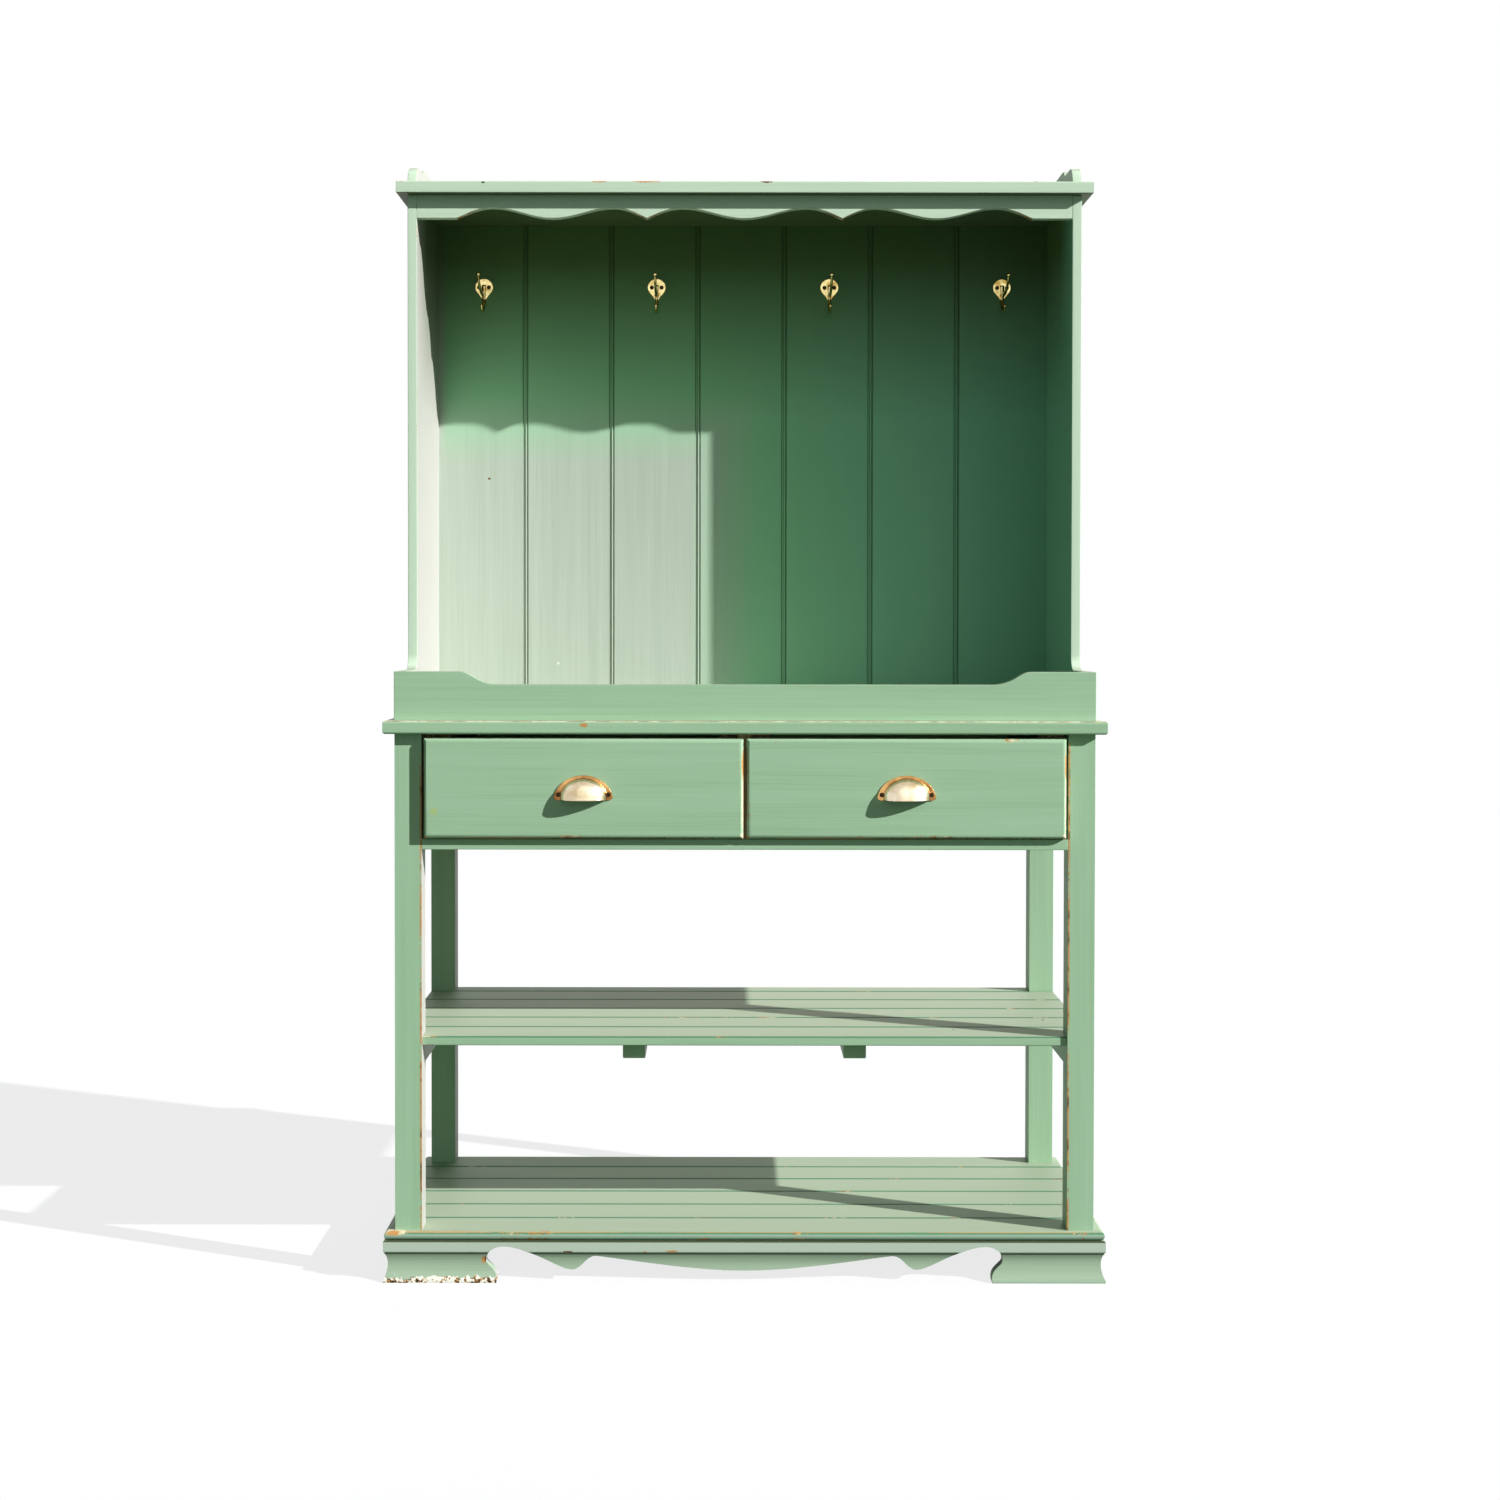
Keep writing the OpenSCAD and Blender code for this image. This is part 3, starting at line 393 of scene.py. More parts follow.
def plain_outside(tree, green):
    """The outer faces of the hutch, painted the darker sage of the base as a painted shade, so that the
    strong sun on the sides doesn't wash them out.
    """
    outward = times(tree, facing(tree)["X"], combine(tree, "SIGN", place_on(tree)["X"]))
    return mix(tree, keep(tree, outward, 0.5, 0.9, FULL_SHADE), green, SAGE[1])


def kept_from_sun(tree, green):
    """Paint inside the hutch: a deep green painted shade where the sun never reaches, and a dark olive
    painted shade under the crown.
    """
    green = plain_outside(tree, green)
    place = place_on(tree)
    not_behind = keep(tree, facing(tree)["Y"], 0.6, 0.4)
    inside = times(tree, keep(tree, combine(tree, "ABSOLUTE", place["X"]), *INNER_FACES), not_behind)
    high = times(tree, keep(tree, place["Z"], *ABOVE_SUN), keep(tree, place["X"], *PAST_LEFT_SIDE))
    dim = combine(tree, "MAXIMUM", high, keep(tree, place["X"], *RIGHT_OF_SUN))
    # Where the sun doesn't reach, the paint is mixed deeper green: painted shade.
    kept = mix(tree, keep(tree, place["X"], *DEEPER_TO_RIGHT), SHADE_GREEN_NEAR_SUN, DEEP_SHADE_GREEN)
    deep = mix(tree, times(tree, inside, dim, FULL_SHADE), green, kept)
    # Towards the top and the back it turns dark olive: painted shade under the crown.
    rising = keep(tree, place["Z"], *TOP_SHADE_RISES, FULL_SHADE)
    shade_under_crown = times(tree, rising, keep(tree, place["Y"], *TOP_SHADE_GOES_BACK))
    return mix(tree, times(tree, inside, shade_under_crown), deep, TOP_SHADE_OLIVE)


def smoked_below(tree, green):
    """The underside of the crown, painted dark olive as a painted shade, as dark as the painted shade below
    it.
    """
    green = plain_outside(tree, green)
    return mix(tree, keep(tree, facing(tree)["Z"], -0.5, -0.9, 0.95), green, UNDERSIDE_SHADE_OLIVE)


print("the sun stays below", ABOVE_SUN[0], "metres")

# %% Paint of the slats and the plinth
NOSE = (70 * MM, 79.5 * MM)
NOSE_FRONT = (-0.222, -0.224)
BAND = (49 * MM, 69 * MM)
LEFT_FOOT = (-0.38, -0.40)
FLAKES_RISE = -26 * MM


def gap_lines(first, second, half):
    """Gives a way of colouring slats: darker green along the gaps of slats, that far to both sides, for the
    dark joints and the painted shade beside them, and a darker green on the nose as painted shade.
    """
    lows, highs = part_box(first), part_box(second)
    gap = (lows[1][1] + highs[0][1]) / 2
    pitch = highs[0][1] - lows[0][1]

    def greener(tree, green):
        along = place_on(tree)["Y"]
        turns = combine(tree, "DIVIDE", combine(tree, "SUBTRACT", along, gap), pitch)
        near = times(tree, combine(tree, "PINGPONG", turns, 0.5), pitch)
        lines = keep(tree, near, half + 1 * MM, half - 1 * MM, 0.9)
        above = times(tree, lines, keep(tree, facing(tree)["Z"], 0.1, 0.2))
        # Darker green along the gaps: dark joints, widened by painted shade.
        green = mix(tree, above, green, GAP_SHADE_GREEN)
        # The front of the nose is painted a darker green: painted shade.
        nose = times(tree, strip(tree, "Z", *NOSE), keep(tree, along, *NOSE_FRONT))
        return mix(tree, nose, green, NOSE_SHADE_GREEN)
    return greener


def weathered_plinth(tree, green):
    """A paler band, painted shade in the corners above and below it, and the left foot, where damp has taken
    the paint off in flakes.
    """
    green = mix(tree, strip(tree, "Z", *BAND), green, BAND_GREY)
    # Thin strips along the band's lower and upper corners are painted dark: painted shade.
    below = strip(tree, "Z", BAND[0] - 2.6 * MM, BAND[0] - 0.2 * MM)
    above = strip(tree, "Z", BAND[1] - 2.4 * MM, BAND[1] + 0.5 * MM)
    green = mix(tree, times(tree, combine(tree, "MAXIMUM", below, above), 0.95), green, CORNER_SHADE)
    place = place_on(tree)
    rise = times(tree, clouds(tree, on_piece(tree), 0.012, 4.0), FLAKES_RISE)
    ragged = combine(tree, "ADD", place["Z"], rise)
    gone = times(tree, keep(tree, ragged, -3 * MM, -5 * MM), keep(tree, place["X"], *LEFT_FOOT))
    flakes = tones(tree, clouds(tree, on_piece(tree), 0.006, 3.0),
                   [(0.38, SOOT), (0.43, BROWN_WEAR_AND_SHADE), (0.47, ORANGE_PINE), (0.52, WHITE_CHIP)])
    return mix(tree, gone, green, flakes)


print("the band of the plinth is", round((BAND[1] - BAND[0]) / MM), "mm high")

# %% The paint itself
PAINT_GLOSS = 0.22


def painted(name, along, edges="rare", greens=SAGE, marks=(), age_and_shade=None, top_tone=DUST_AND_SUN_TONE):
    """Green paint brushed along an axis. edges says how they wear, and for beads the grooves are darkened as
    painted shade. marks are colours at places, and a function given after them adds colour by place, painted
    shade among it.
    """
    made, tree, shader = new_finish(name, 0.5)
    shader.inputs["Specular IOR Level"].default_value = PAINT_GLOSS
    where = own_place(tree)
    grain = times(tree, streaks(tree, where, along, 0.6, 0.02), 0.5)
    hairs = times(tree, streaks(tree, where, along, 0.2, 0.0022), 0.5)
    tone = combine(tree, "ADD", grain, hairs)
    green = brushed_green(tree, where, tone, greens, top_tone)
    if age_and_shade:
        green = age_and_shade(tree, green)
    # On the beaded back boards the small slanted faces of beads and quirks are painted darker: painted shade
    # in the grooves.
    if edges == "beads":
        bare = times(tree, edge_faces(tree), QUIRK_SHADE_SHARE)
        green = mix(tree, bare, green, QUIRK_SHADE)
    else:
        # Wear colours on the edges; the cream along the worktop's top front edge and under the valance is
        # partly a painted highlight.
        bare = lost_paint(tree, where, edges)
        green = mix(tree, bare, green, wear_colour(tree, where, LINE_PINE if edges == "inner" else CREAM_WEAR_AND_HIGHLIGHT))
    for colour, centre, reach in marks:
        green = mix(tree, mark(tree, centre, reach), green, colour)
    tree.links.new(green, shader.inputs["Base Color"])
    rough = combine(tree, "ADD", keep(tree, hairs, 0.15, 0.35, 0.12), 0.46)
    rough = combine(tree, "ADD", rough, times(tree, bare, 0.2))
    tree.links.new(rough, shader.inputs["Roughness"])
    height = combine(tree, "SUBTRACT", tone, times(tree, bare, 0.3))
    relief = add(tree, "ShaderNodeBump", {"Height": height, "Strength": 0.09, "Distance": 0.4 * MM})
    tree.links.new(relief.outputs["Normal"], shader.inputs["Normal"])
    return made


print("the paint's gloss is", PAINT_GLOSS)

# %% [markdown]
# Chips and stains that have a place
#
# Some damage follows no rule. A pot has scraped the nose of the base down to orange pine, and soot sits
# in a dent of the crown. Each such spot is written down as a colour, a place and how far it reaches.
# They could be painted on a picture of the board, but its grid would show from near. Here a spot is a
# ragged oval, which the paint works out from the place of the point.

# %% Spots on boards, plinth, crown and back
BOARD_MARKS = [
    (LINE_PINE, (-0.500, -0.2300, 0.0825), (0.110, 0.008, 0.0011)),
    (LINE_PINE, (-0.300, -0.2300, 0.0824), (0.140, 0.008, 0.0007)),
    (LINE_PINE, (0.050, -0.2300, 0.0824), (0.240, 0.008, 0.0005)),
    (LINE_PINE, (0.430, -0.2300, 0.0824), (0.160, 0.008, 0.0006)),
    (CREAM_WEAR_AND_HIGHLIGHT, (-0.570, -0.2260, 0.0820), (0.018, 0.014, 0.0050)),
    (ORANGE_PINE, (-0.574, -0.2290, 0.0810), (0.012, 0.010, 0.0035)),
    (ORANGE_PINE, (-0.262, -0.2385, 0.9125), (0.007, 0.006, 0.0035)),
    (SOOT, (0.5109, -0.066, 0.4010), (0.0025, 0.004, 0.0030)),
    (SOOT, (0.3491, -0.1542, 0.4010), (0.0020, 0.003, 0.0030)),
]
PLINTH_MARKS = [
    (ORANGE_PINE, (-0.4270, -0.2300, 0.0370), (0.0045, 0.012, 0.0070)),
    (BROWN_WEAR_AND_SHADE, (-0.4235, -0.2300, 0.0380), (0.0020, 0.012, 0.0050)),
    (BROWN_WEAR_AND_SHADE, (-0.2880, -0.2320, 0.0515), (0.0080, 0.004, 0.0014)),
    (ORANGE_PINE, (-0.1622, -0.2320, 0.0510), (0.0030, 0.004, 0.0014)),
    (ORANGE_PINE, (-0.1182, -0.2320, 0.0522), (0.0090, 0.004, 0.0018)),
]
CROWN_MARKS = [
    (ORANGE_PINE, (-0.245, -0.0800, 1.8245), (0.014, 0.006, 0.0022)),
    (ORANGE_PINE, (-0.167, -0.0800, 1.8245), (0.024, 0.006, 0.0020)),
    (BROWN_WEAR_AND_SHADE, (0.036, -0.0800, 1.8240), (0.010, 0.006, 0.0022)),
    (SOOT, (-0.4425, -0.0800, 1.8225), (0.0030, 0.004, 0.0014)),
]
BACK_MARKS = [
    (BROWN_WEAR_AND_SHADE, (-0.4651, 0.2205, 1.3429), (0.0024, 0.004, 0.0024)),
    (WHITE_CHIP, (-0.3384, 0.2205, 1.0040), (0.0020, 0.004, 0.0020)),
]
print("spots:", len(BOARD_MARKS) + len(PLINTH_MARKS) + len(CROWN_MARKS) + len(BACK_MARKS))


# %% Spots on the drawer fronts
def drawer_marks():
    """Worn edges of both drawer fronts: brown below and along the left edge, partly painted shade there;
    cream and orange on the right and in the corners, the cream on the right edge partly a painted highlight.
    """
    marks = []
    for side in ("left", "right"):
        low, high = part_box("drawer_" + side + "_front")
        middle = (low[0] + high[0]) / 2
        marks += [
            # The brown below and on the left is partly painted shade, and the cream on the right edge partly
            # a painted highlight of the sun.
            (BROWN_WEAR_AND_SHADE, (middle, low[1], low[2]), (0.33, 0.01, 2.2 * MM)),
            (ORANGE_PINE, (middle - 0.12, low[1], low[2] + 1 * MM), (0.09, 0.01, 1.6 * MM)),
            (CREAM_WEAR_AND_HIGHLIGHT, (high[0], low[1], low[2] + 0.07), (3.2 * MM, 0.01, 0.075)),
            (ORANGE_PINE, (high[0] - 1 * MM, low[1], low[2] + 0.12), (2.4 * MM, 0.01, 0.025)),
            (CREAM_WEAR_AND_HIGHLIGHT, (high[0] - 2 * MM, low[1], low[2] + 4 * MM), (4.5 * MM, 0.01, 5 * MM)),
            (BROWN_WEAR_AND_SHADE, (low[0], low[1], low[2] + 0.08), (1.6 * MM, 0.01, 0.10)),
            (ORANGE_PINE, (low[0] + 2 * MM, low[1], low[2] + 2 * MM), (4 * MM, 0.01, 3 * MM)),
        ]
    return marks


DRAWER_MARKS = drawer_marks() + [(KNOT_YELLOW, (-0.506, -0.2345, 0.7720), (0.006, 0.006, 0.0060))]
print("spots on the drawers:", len(DRAWER_MARKS))

# %% The kinds of paint
BASE_GREENER = 4.0 * MM
SHELF_GREENER = 4.8 * MM
paint_along = {axis: painted("sage_paint_along_" + axis.lower(), axis) for axis in "YZ"}
paint_along["X"] = painted("sage_paint_along_x", "X", marks=BOARD_MARKS)
base_lines = gap_lines("base_slat_1", "base_slat_2", BASE_GREENER)
shelf_lines = gap_lines("shelf_slat_1", "shelf_slat_2", SHELF_GREENER)
paint_of = {
    "back_board": painted("sage_paint_beaded", "Z", "beads", BACK_GREENS, BACK_MARKS, kept_from_sun),
    "plinth_front": painted("sage_paint_plinth", "X", "rare", GREYED, PLINTH_MARKS, weathered_plinth),
    "plinth": painted("sage_paint_plinth_sides", "Y", "rare", GREYED),
    "base_slat": painted("sage_paint_slats", "X", "rare", SAGE, BOARD_MARKS, base_lines),
    "shelf_slat": painted("sage_paint_shelf", "X", "rare", SAGE, BOARD_MARKS, shelf_lines),
    "countertop": painted("sage_paint_worktop", "X", "above", marks=BOARD_MARKS, top_tone=SCRUBBED),
    "drawer_left_front": painted("sage_paint_drawers", "X", marks=DRAWER_MARKS),
    "leg_front": painted("sage_paint_legs", "Z", "inner"),
    "hutch_side": painted("faded_paint_sides", "Z", "rare", FADED, (), kept_from_sun),
    "hutch_top": painted("faded_paint_crown", "X", "rare", FADED, CROWN_MARKS, smoked_below),
    "valance": painted("faded_paint_valance", "X", "below", greens=FADED),
    "top_scrolls": painted("faded_paint_scrolls", "Y", "rare", FADED, (), plain_outside),
}
paint_of["drawer_right_front"] = paint_of["drawer_left_front"]
print("kinds of paint:", len(paint_along) + len(paint_of))

# %% [markdown]
# Bare pine
#
# The drawer boxes, their runners and the glue blocks were never painted. Pine has broad pale bands
# between thin darker lines, both drawn out along the board. Two widths of streak, one inside the
# other, are enough for pieces that are seen only when a drawer is open.

# %% Bare pine
PINE_PALE = linear(222, 190, 142)
PINE = linear(205, 166, 114)
PINE_LINE = linear(168, 120, 70)


def bare_pine(name, along):
    """Unpainted pine with its grain along an axis."""
    made, tree, shader = new_finish(name, 0.62)
    where = own_place(tree)
    rings = times(tree, streaks(tree, where, along, 0.7, 0.011, 2.0), 0.75)
    fibres = times(tree, streaks(tree, where, along, 0.05, 0.0008, 2.0), 0.25)
    figure = combine(tree, "ADD", rings, fibres)
    stops = [(0.38, PINE_PALE), (0.50, PINE), (0.56, PINE_LINE), (0.60, PINE_PALE)]
    tree.links.new(tones(tree, figure, stops), shader.inputs["Base Color"])
    relief = add(tree, "ShaderNodeBump", {"Height": figure, "Strength": 0.3, "Distance": 0.3 * MM})
    tree.links.new(relief.outputs["Normal"], shader.inputs["Normal"])
    return made


pine_along = {axis: bare_pine("bare_pine_along_" + axis.lower(), axis) for axis in "XYZ"}
print(len(pine_along), "kinds of pine")

# %% [markdown]
# Which finish goes on which board
#
# A joiner runs the grain along the length of each board, and the painter follows it. So the direction
# is a property of the piece, and a short table by the beginnings of the names covers all of them.

# %% Finishes by name
GRAIN = {
    "X": ("plinth_front", "plinth_rear", "base_slat", "shelf_slat", "rear_apron", "drawer_rail",
          "countertop", "gallery_front", "hutch_top", "valance",
          "drawer_left_front", "drawer_right_front", "drawer_left_back", "drawer_right_back",
          "drawer_left_bottom", "drawer_right_bottom"),
    "Y": ("plinth_left", "plinth_right", "shelf_rails", "shelf_battens", "side_aprons", "top_scrolls",
          "drawer_runners", "drawer_left_sides", "drawer_right_sides"),
    "Z": ("leg", "hutch_side", "back_board", "plinth_blocks", "drawer_divider"),
}
slot_of = {row["node"]: row["material_slot"] for row in frame["record"]["subparts"]}


def grain_of(name):
    """The axis that a piece's grain follows."""
    for axis, starts in GRAIN.items():
        if name.startswith(starts):
            return axis
    return None


wooden = {name: grain_of(name) for name in nodes if slot_of[name] in ("green_paint", "bare_pine")}
print(len(wooden), "wooden pieces, without a grain:", [n for n, axis in wooden.items() if axis is None])

# %% [markdown]
# Eased edges
#
# No edge of a real board is a perfect corner. A plane or a thumb of sandpaper has eased it, and that
# narrow band is where light gathers and paint wears first. The bands could be modelled by hand on
# every piece. A Bevel modifier adds them to all, once the triangles of the construction model have
# been welded and joined back into whole faces. Two small node groups help: one drops the old shading
# directions, which wouldn't fit the new faces, and one shades gentle turns as round and sharp ones as
# sharp. A Weighted Normal modifier then keeps the broad faces flat, so that only the bands look round.

# %% Node groups for clean faces and round shading
SHARP_TURN = math.radians(32)
WELD_WITHIN = 0.02 * MM


def geometry_group(name):
    """An empty group of geometry nodes, with its way in and its way out."""
    made = bpy.data.node_groups.new(name, "GeometryNodeTree")
    made.interface.new_socket("Geometry", in_out="INPUT", socket_type="NodeSocketGeometry")
    made.interface.new_socket("Geometry", in_out="OUTPUT", socket_type="NodeSocketGeometry")
    return made, made.nodes.new("NodeGroupInput").outputs[0], made.nodes.new("NodeGroupOutput").inputs[0]


def welding_group():
    """Drops the stored shading directions and joins points that lie on each other."""
    made, incoming, outgoing = geometry_group("weld_faces")
    plain = add(made, "GeometryNodeRemoveAttribute", {"Geometry": incoming, "Name": "custom_normal"})
    welded = add(made, "GeometryNodeMergeByDistance", {"Geometry": plain.outputs[0], "Distance": WELD_WITHIN})
    made.links.new(welded.outputs[0], outgoing)
    return made


def shading_group():
    """Smooth faces, with a sharp line along every edge that turns more than a gentle amount."""
    made, incoming, outgoing = geometry_group("shade_gentle_turns")
    angle = add(made, "GeometryNodeInputMeshEdgeAngle").outputs["Unsigned Angle"]
    gentle = add(made, "FunctionNodeCompare", {0: angle, 1: SHARP_TURN}, operation="LESS_THAN").outputs[0]
    faces = add(made, "GeometryNodeSetShadeSmooth", {"Geometry": incoming, "Shade Smooth": True})
    edges = add(made, "GeometryNodeSetShadeSmooth",
                {"Geometry": faces.outputs[0], "Shade Smooth": gentle}, domain="EDGE")
    made.links.new(edges.outputs[0], outgoing)
    return made


weld_faces = welding_group()
shade_gentle_turns = shading_group()
print("node groups:", weld_faces.name, shade_gentle_turns.name)

# %% Ease the edges and brush on the paint
EASED = 1.3 * MM
EASED_TRIM = 0.7 * MM
FLAT_WITHIN = math.radians(0.4)
BEVEL_ABOVE = math.radians(38)


def use_group(piece, group):
    """Adds a group of geometry nodes to a piece as a modifier."""
    piece.modifiers.new(group.name, "NODES").node_group = group


def ease_edges(piece, width):
    """Whole faces, then rounded edges, then smooth shading that leaves the broad faces flat."""
    use_group(piece, weld_faces)
    whole = piece.modifiers.new("whole_faces", "DECIMATE")
    whole.decimate_type = "DISSOLVE"
    whole.angle_limit = FLAT_WITHIN
    rounded = piece.modifiers.new("eased_edges", "BEVEL")
    rounded.width = width
    rounded.segments = 2
    rounded.limit_method = "ANGLE"
    rounded.angle_limit = BEVEL_ABOVE
    use_group(piece, shade_gentle_turns)
    flat = piece.modifiers.new("flat_faces", "WEIGHTED_NORMAL")
    flat.keep_sharp = True


def finish_for(name, axis):
    """The paint or the wood of a piece."""
    if slot_of[name] == "bare_pine":
        return pine_along[axis]
    for start, paint in paint_of.items():
        if name.startswith(start):
            return paint
    return paint_along[axis]


for name, axis in wooden.items():
    nodes[name].material_slots[0].material = finish_for(name, axis)
    ease_edges(nodes[name], EASED_TRIM if name == "valance" else EASED)
print(len(wooden), "pieces dressed")

# %% [markdown]
# Brass
#
# The cup pulls are cast brass with a bronzed skin. Fingers have rubbed the skin off the dome, which is
# pale there, and it is still warm brown on the flange. The hooks are newer and yellower. Both finishes
# are one metal with another tint and another gloss, so one function makes them. The slow clouds in the
# tint are tarnish, and the fine ones scatter the reflection as handled metal does.

# %% Brass
RIM_REACHES = (-6.5 * MM, -2.5 * MM)


def brass(name, dark, light, roughness, cloud_size, rim=None):
    """Cast brass. rim is a second pair of tints for what lies close to the wood behind."""
    made, tree, shader = new_finish(name, roughness, 1.0)
    where = own_place(tree)
    tarnish = clouds(tree, where, cloud_size, 4.0)
    tint = tones(tree, tarnish, [(0.36, dark), (0.62, light)])
    if rim:
        raggedness = keep(tree, clouds(tree, where, 0.006), 0.3, 0.7, 2.4 * MM)
        ragged = combine(tree, "ADD", place_on(tree)["Y"], raggedness)
        skin = tones(tree, tarnish, [(0.38, rim[0]), (0.60, rim[1])])
        tint = mix(tree, keep(tree, ragged, *RIM_REACHES), tint, skin)
    tree.links.new(tint, shader.inputs["Base Color"])
    gloss = combine(tree, "ADD", keep(tree, clouds(tree, where, 0.003), 0.3, 0.7, 0.14), roughness - 0.07)
    tree.links.new(gloss, shader.inputs["Roughness"])
    scratches = streaks(tree, where, "X", 0.02, 0.0005, 2.0)
    relief = add(tree, "ShaderNodeBump", {"Height": scratches, "Strength": 0.15, "Distance": 0.1 * MM})
    tree.links.new(relief.outputs["Normal"], shader.inputs["Normal"])
    return made


BRONZED = (linear(146, 98, 52), linear(208, 164, 106))
rubbed_brass = brass("rubbed_brass", linear(204, 182, 144), linear(238, 226, 202), 0.26, 0.028, BRONZED)
yellow_brass = brass("yellow_brass", linear(168, 134, 66), linear(236, 218, 156), 0.20, 0.012)
dark_screw = brass("dark_screw", linear(30, 24, 18), linear(74, 58, 38), 0.45, 0.002)
for name in ("hook_screws", "drawer_left_screws", "drawer_right_screws"):
    nodes[name].material_slots[0].material = dark_screw
print("brass:", rubbed_brass.name, yellow_brass.name, dark_screw.name)

# %% [markdown]
# Cast again: how the fittings are shaped
#
# A casting has no sharp inner corners, because molten brass doesn't fill them. The construction model
# has plain ones, so the pulls and hooks are made again here, in the same places. A pull could be
# sculpted, but its form is a rule: the same slice, from the flange over the dome to the lip and back
# inside, swung round from one end to the other. So the slices are worked out one after another, and a
# skin is laid over them.

# %% A skin over slices, and countersunk holes
def skin_over(name, slices):
    """A closed surface over slices, each a ring of as many points, with a flat face at both ends."""
    form = bmesh.new()
    rows = [[form.verts.new(point) for point in ring] for ring in slices]
    count = len(rows[0])
    for near, far in zip(rows, rows[1:]):
        for k in range(count):
            form.faces.new((near[k], near[(k + 1) % count], far[(k + 1) % count], far[k]))
    form.faces.new(rows[0])
    form.faces.new(rows[-1])
    bmesh.ops.remove_doubles(form, verts=form.verts, dist=0.01 * MM)
    bmesh.ops.recalc_face_normals(form, faces=form.faces)
    made = bpy.data.meshes.new(name)
    form.to_mesh(made)
    form.free()
    return bpy.data.objects.new(name, made)


SHANK_HOLE = 1.8 * MM
HEAD_HOLE = 3.9 * MM


def drill(piece, places, plate):
    """Countersunk holes through a plate of that thickness, whose back lies at depth 0."""
    steps = [(2 * MM, SHANK_HOLE), (HEAD_HOLE - SHANK_HOLE - plate, SHANK_HOLE),
             (-plate, HEAD_HOLE), (-plate - 4 * MM, HEAD_HOLE)]
    turns = [math.tau * k / 28 for k in range(28)]
    for x, z in places:
        bit = skin_over("bit", [[Vector((x + r * math.cos(a), y, z + r * math.sin(a))) for a in turns]
                                for y, r in steps])
        hole = piece.modifiers.new("hole", "BOOLEAN")
        hole.operation = "DIFFERENCE"
        hole.solver = "EXACT"
        hole.object = bit


def settle(piece, finish):
    """Shades a piece, works out its modifiers, keeps the result as its mesh and gives that its finish."""
    use_group(piece, shade_gentle_turns)
    bits = [m.object for m in piece.modifiers if m.type == "BOOLEAN"]
    for each in [piece] + bits:
        scene.collection.objects.link(each)
    shape = piece.evaluated_get(bpy.context.evaluated_depsgraph_get())
    made = bpy.data.meshes.new_from_object(shape)
    for each in [piece] + bits:
        bpy.data.objects.remove(each)
    made.materials.clear()
    made.materials.append(finish)
    return made


def put_up(name, shape, place, body, node):
    """Fixes a casting at its place on a body, where it stands for a piece of the construction model."""
    piece = bpy.data.objects.new(name, shape)
    piece.location = place
    scene.collection.objects.link(piece)
    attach(piece, body)
    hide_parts(node)


print("ready to cast")

# %% The slices of a cup pull
PULL_WIDE, PULL_OUT, PULL_HIGH = [high - low for low, high in zip(*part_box("drawer_left_pull"))]
FLANGE = 2.0 * MM
DOME_HALF = PULL_WIDE / 2 - 9.5 * MM
DOME_HIGH = PULL_HIGH - 5.0 * MM
CORNER = 4.8 * MM
FILLET = 2.6 * MM
CAST_WALL = 1.8 * MM
BEAD = 1.4 * MM
FLANGE_ROUND = 0.8 * MM
PULL_SCREWS = [(-40.5 * MM, 8.8 * MM), (40.5 * MM, 8.8 * MM)]
SLICES = 72


def flange_edge(turn):
    """The outline of the flange at a turn from 0 to pi: half an ellipse with rounded lower corners."""
    x = PULL_WIDE / 2 * math.cos(turn)
    z = PULL_HIGH * math.sin(turn)
    if z < CORNER:
        lift = math.acos(1 - z / CORNER)
        x = math.copysign(PULL_WIDE / 2 - CORNER + CORNER * math.sin(lift), x)
    return Vector((x, 0, z))


def dome_point(turn, over, half, high, depth, base):
    """A point of a dome: over runs from 0 at the flange to a quarter turn at the lip."""
    z = high * math.sin(turn) * math.cos(over)
    return Vector((half * math.cos(turn), -base - max(depth - base, 0) * math.sin(over), z))


def pull_slice(turn):
    """One slice through a cup pull: flange, fillet, dome, rolled lip and the hollow inside."""
    depth = max(PULL_OUT * math.sin(turn), FLANGE + 0.4 * MM)
    fillet = min(FILLET, (depth - FLANGE) / 2)
    bead = min(BEAD, depth / 3)
    edge = flange_edge(turn)
    foot = Vector((DOME_HALF * math.cos(turn), 0, DOME_HIGH * math.sin(turn)))
    outward = (edge - foot).normalized()
    ring = [edge.copy()]
    for k in range(4):
        swing = math.pi / 2 * k / 3
        ring.append(edge - outward * FLANGE_ROUND * (1 - math.cos(swing))
                    - Vector((0, FLANGE - FLANGE_ROUND * (1 - math.sin(swing)), 0)))
    for k in range(6):
        swing = math.pi / 2 * k / 5
        ring.append(foot + outward * fillet * (1 - math.sin(swing))
                    - Vector((0, FLANGE + fillet * (1 - math.cos(swing)), 0)))
    for k in range(1, 15):
        ring.append(dome_point(turn, math.pi / 2 * k / 15, DOME_HALF, DOME_HIGH,
                               depth - 0.4 * MM, FLANGE + fillet))
    for k in range(9):
        swing = math.radians(-40 + 260 * k / 8)
        ring.append(Vector((foot.x, -depth + bead - bead * math.cos(swing), bead - bead * math.sin(swing))))
    for k in range(14, -1, -1):
        ring.append(dome_point(turn, math.pi / 2 * k / 15, DOME_HALF - CAST_WALL, DOME_HIGH - CAST_WALL,
                               max(depth - CAST_WALL, 0), 0))
    return ring


print("a slice of a pull has", len(pull_slice(math.pi / 2)), "points")

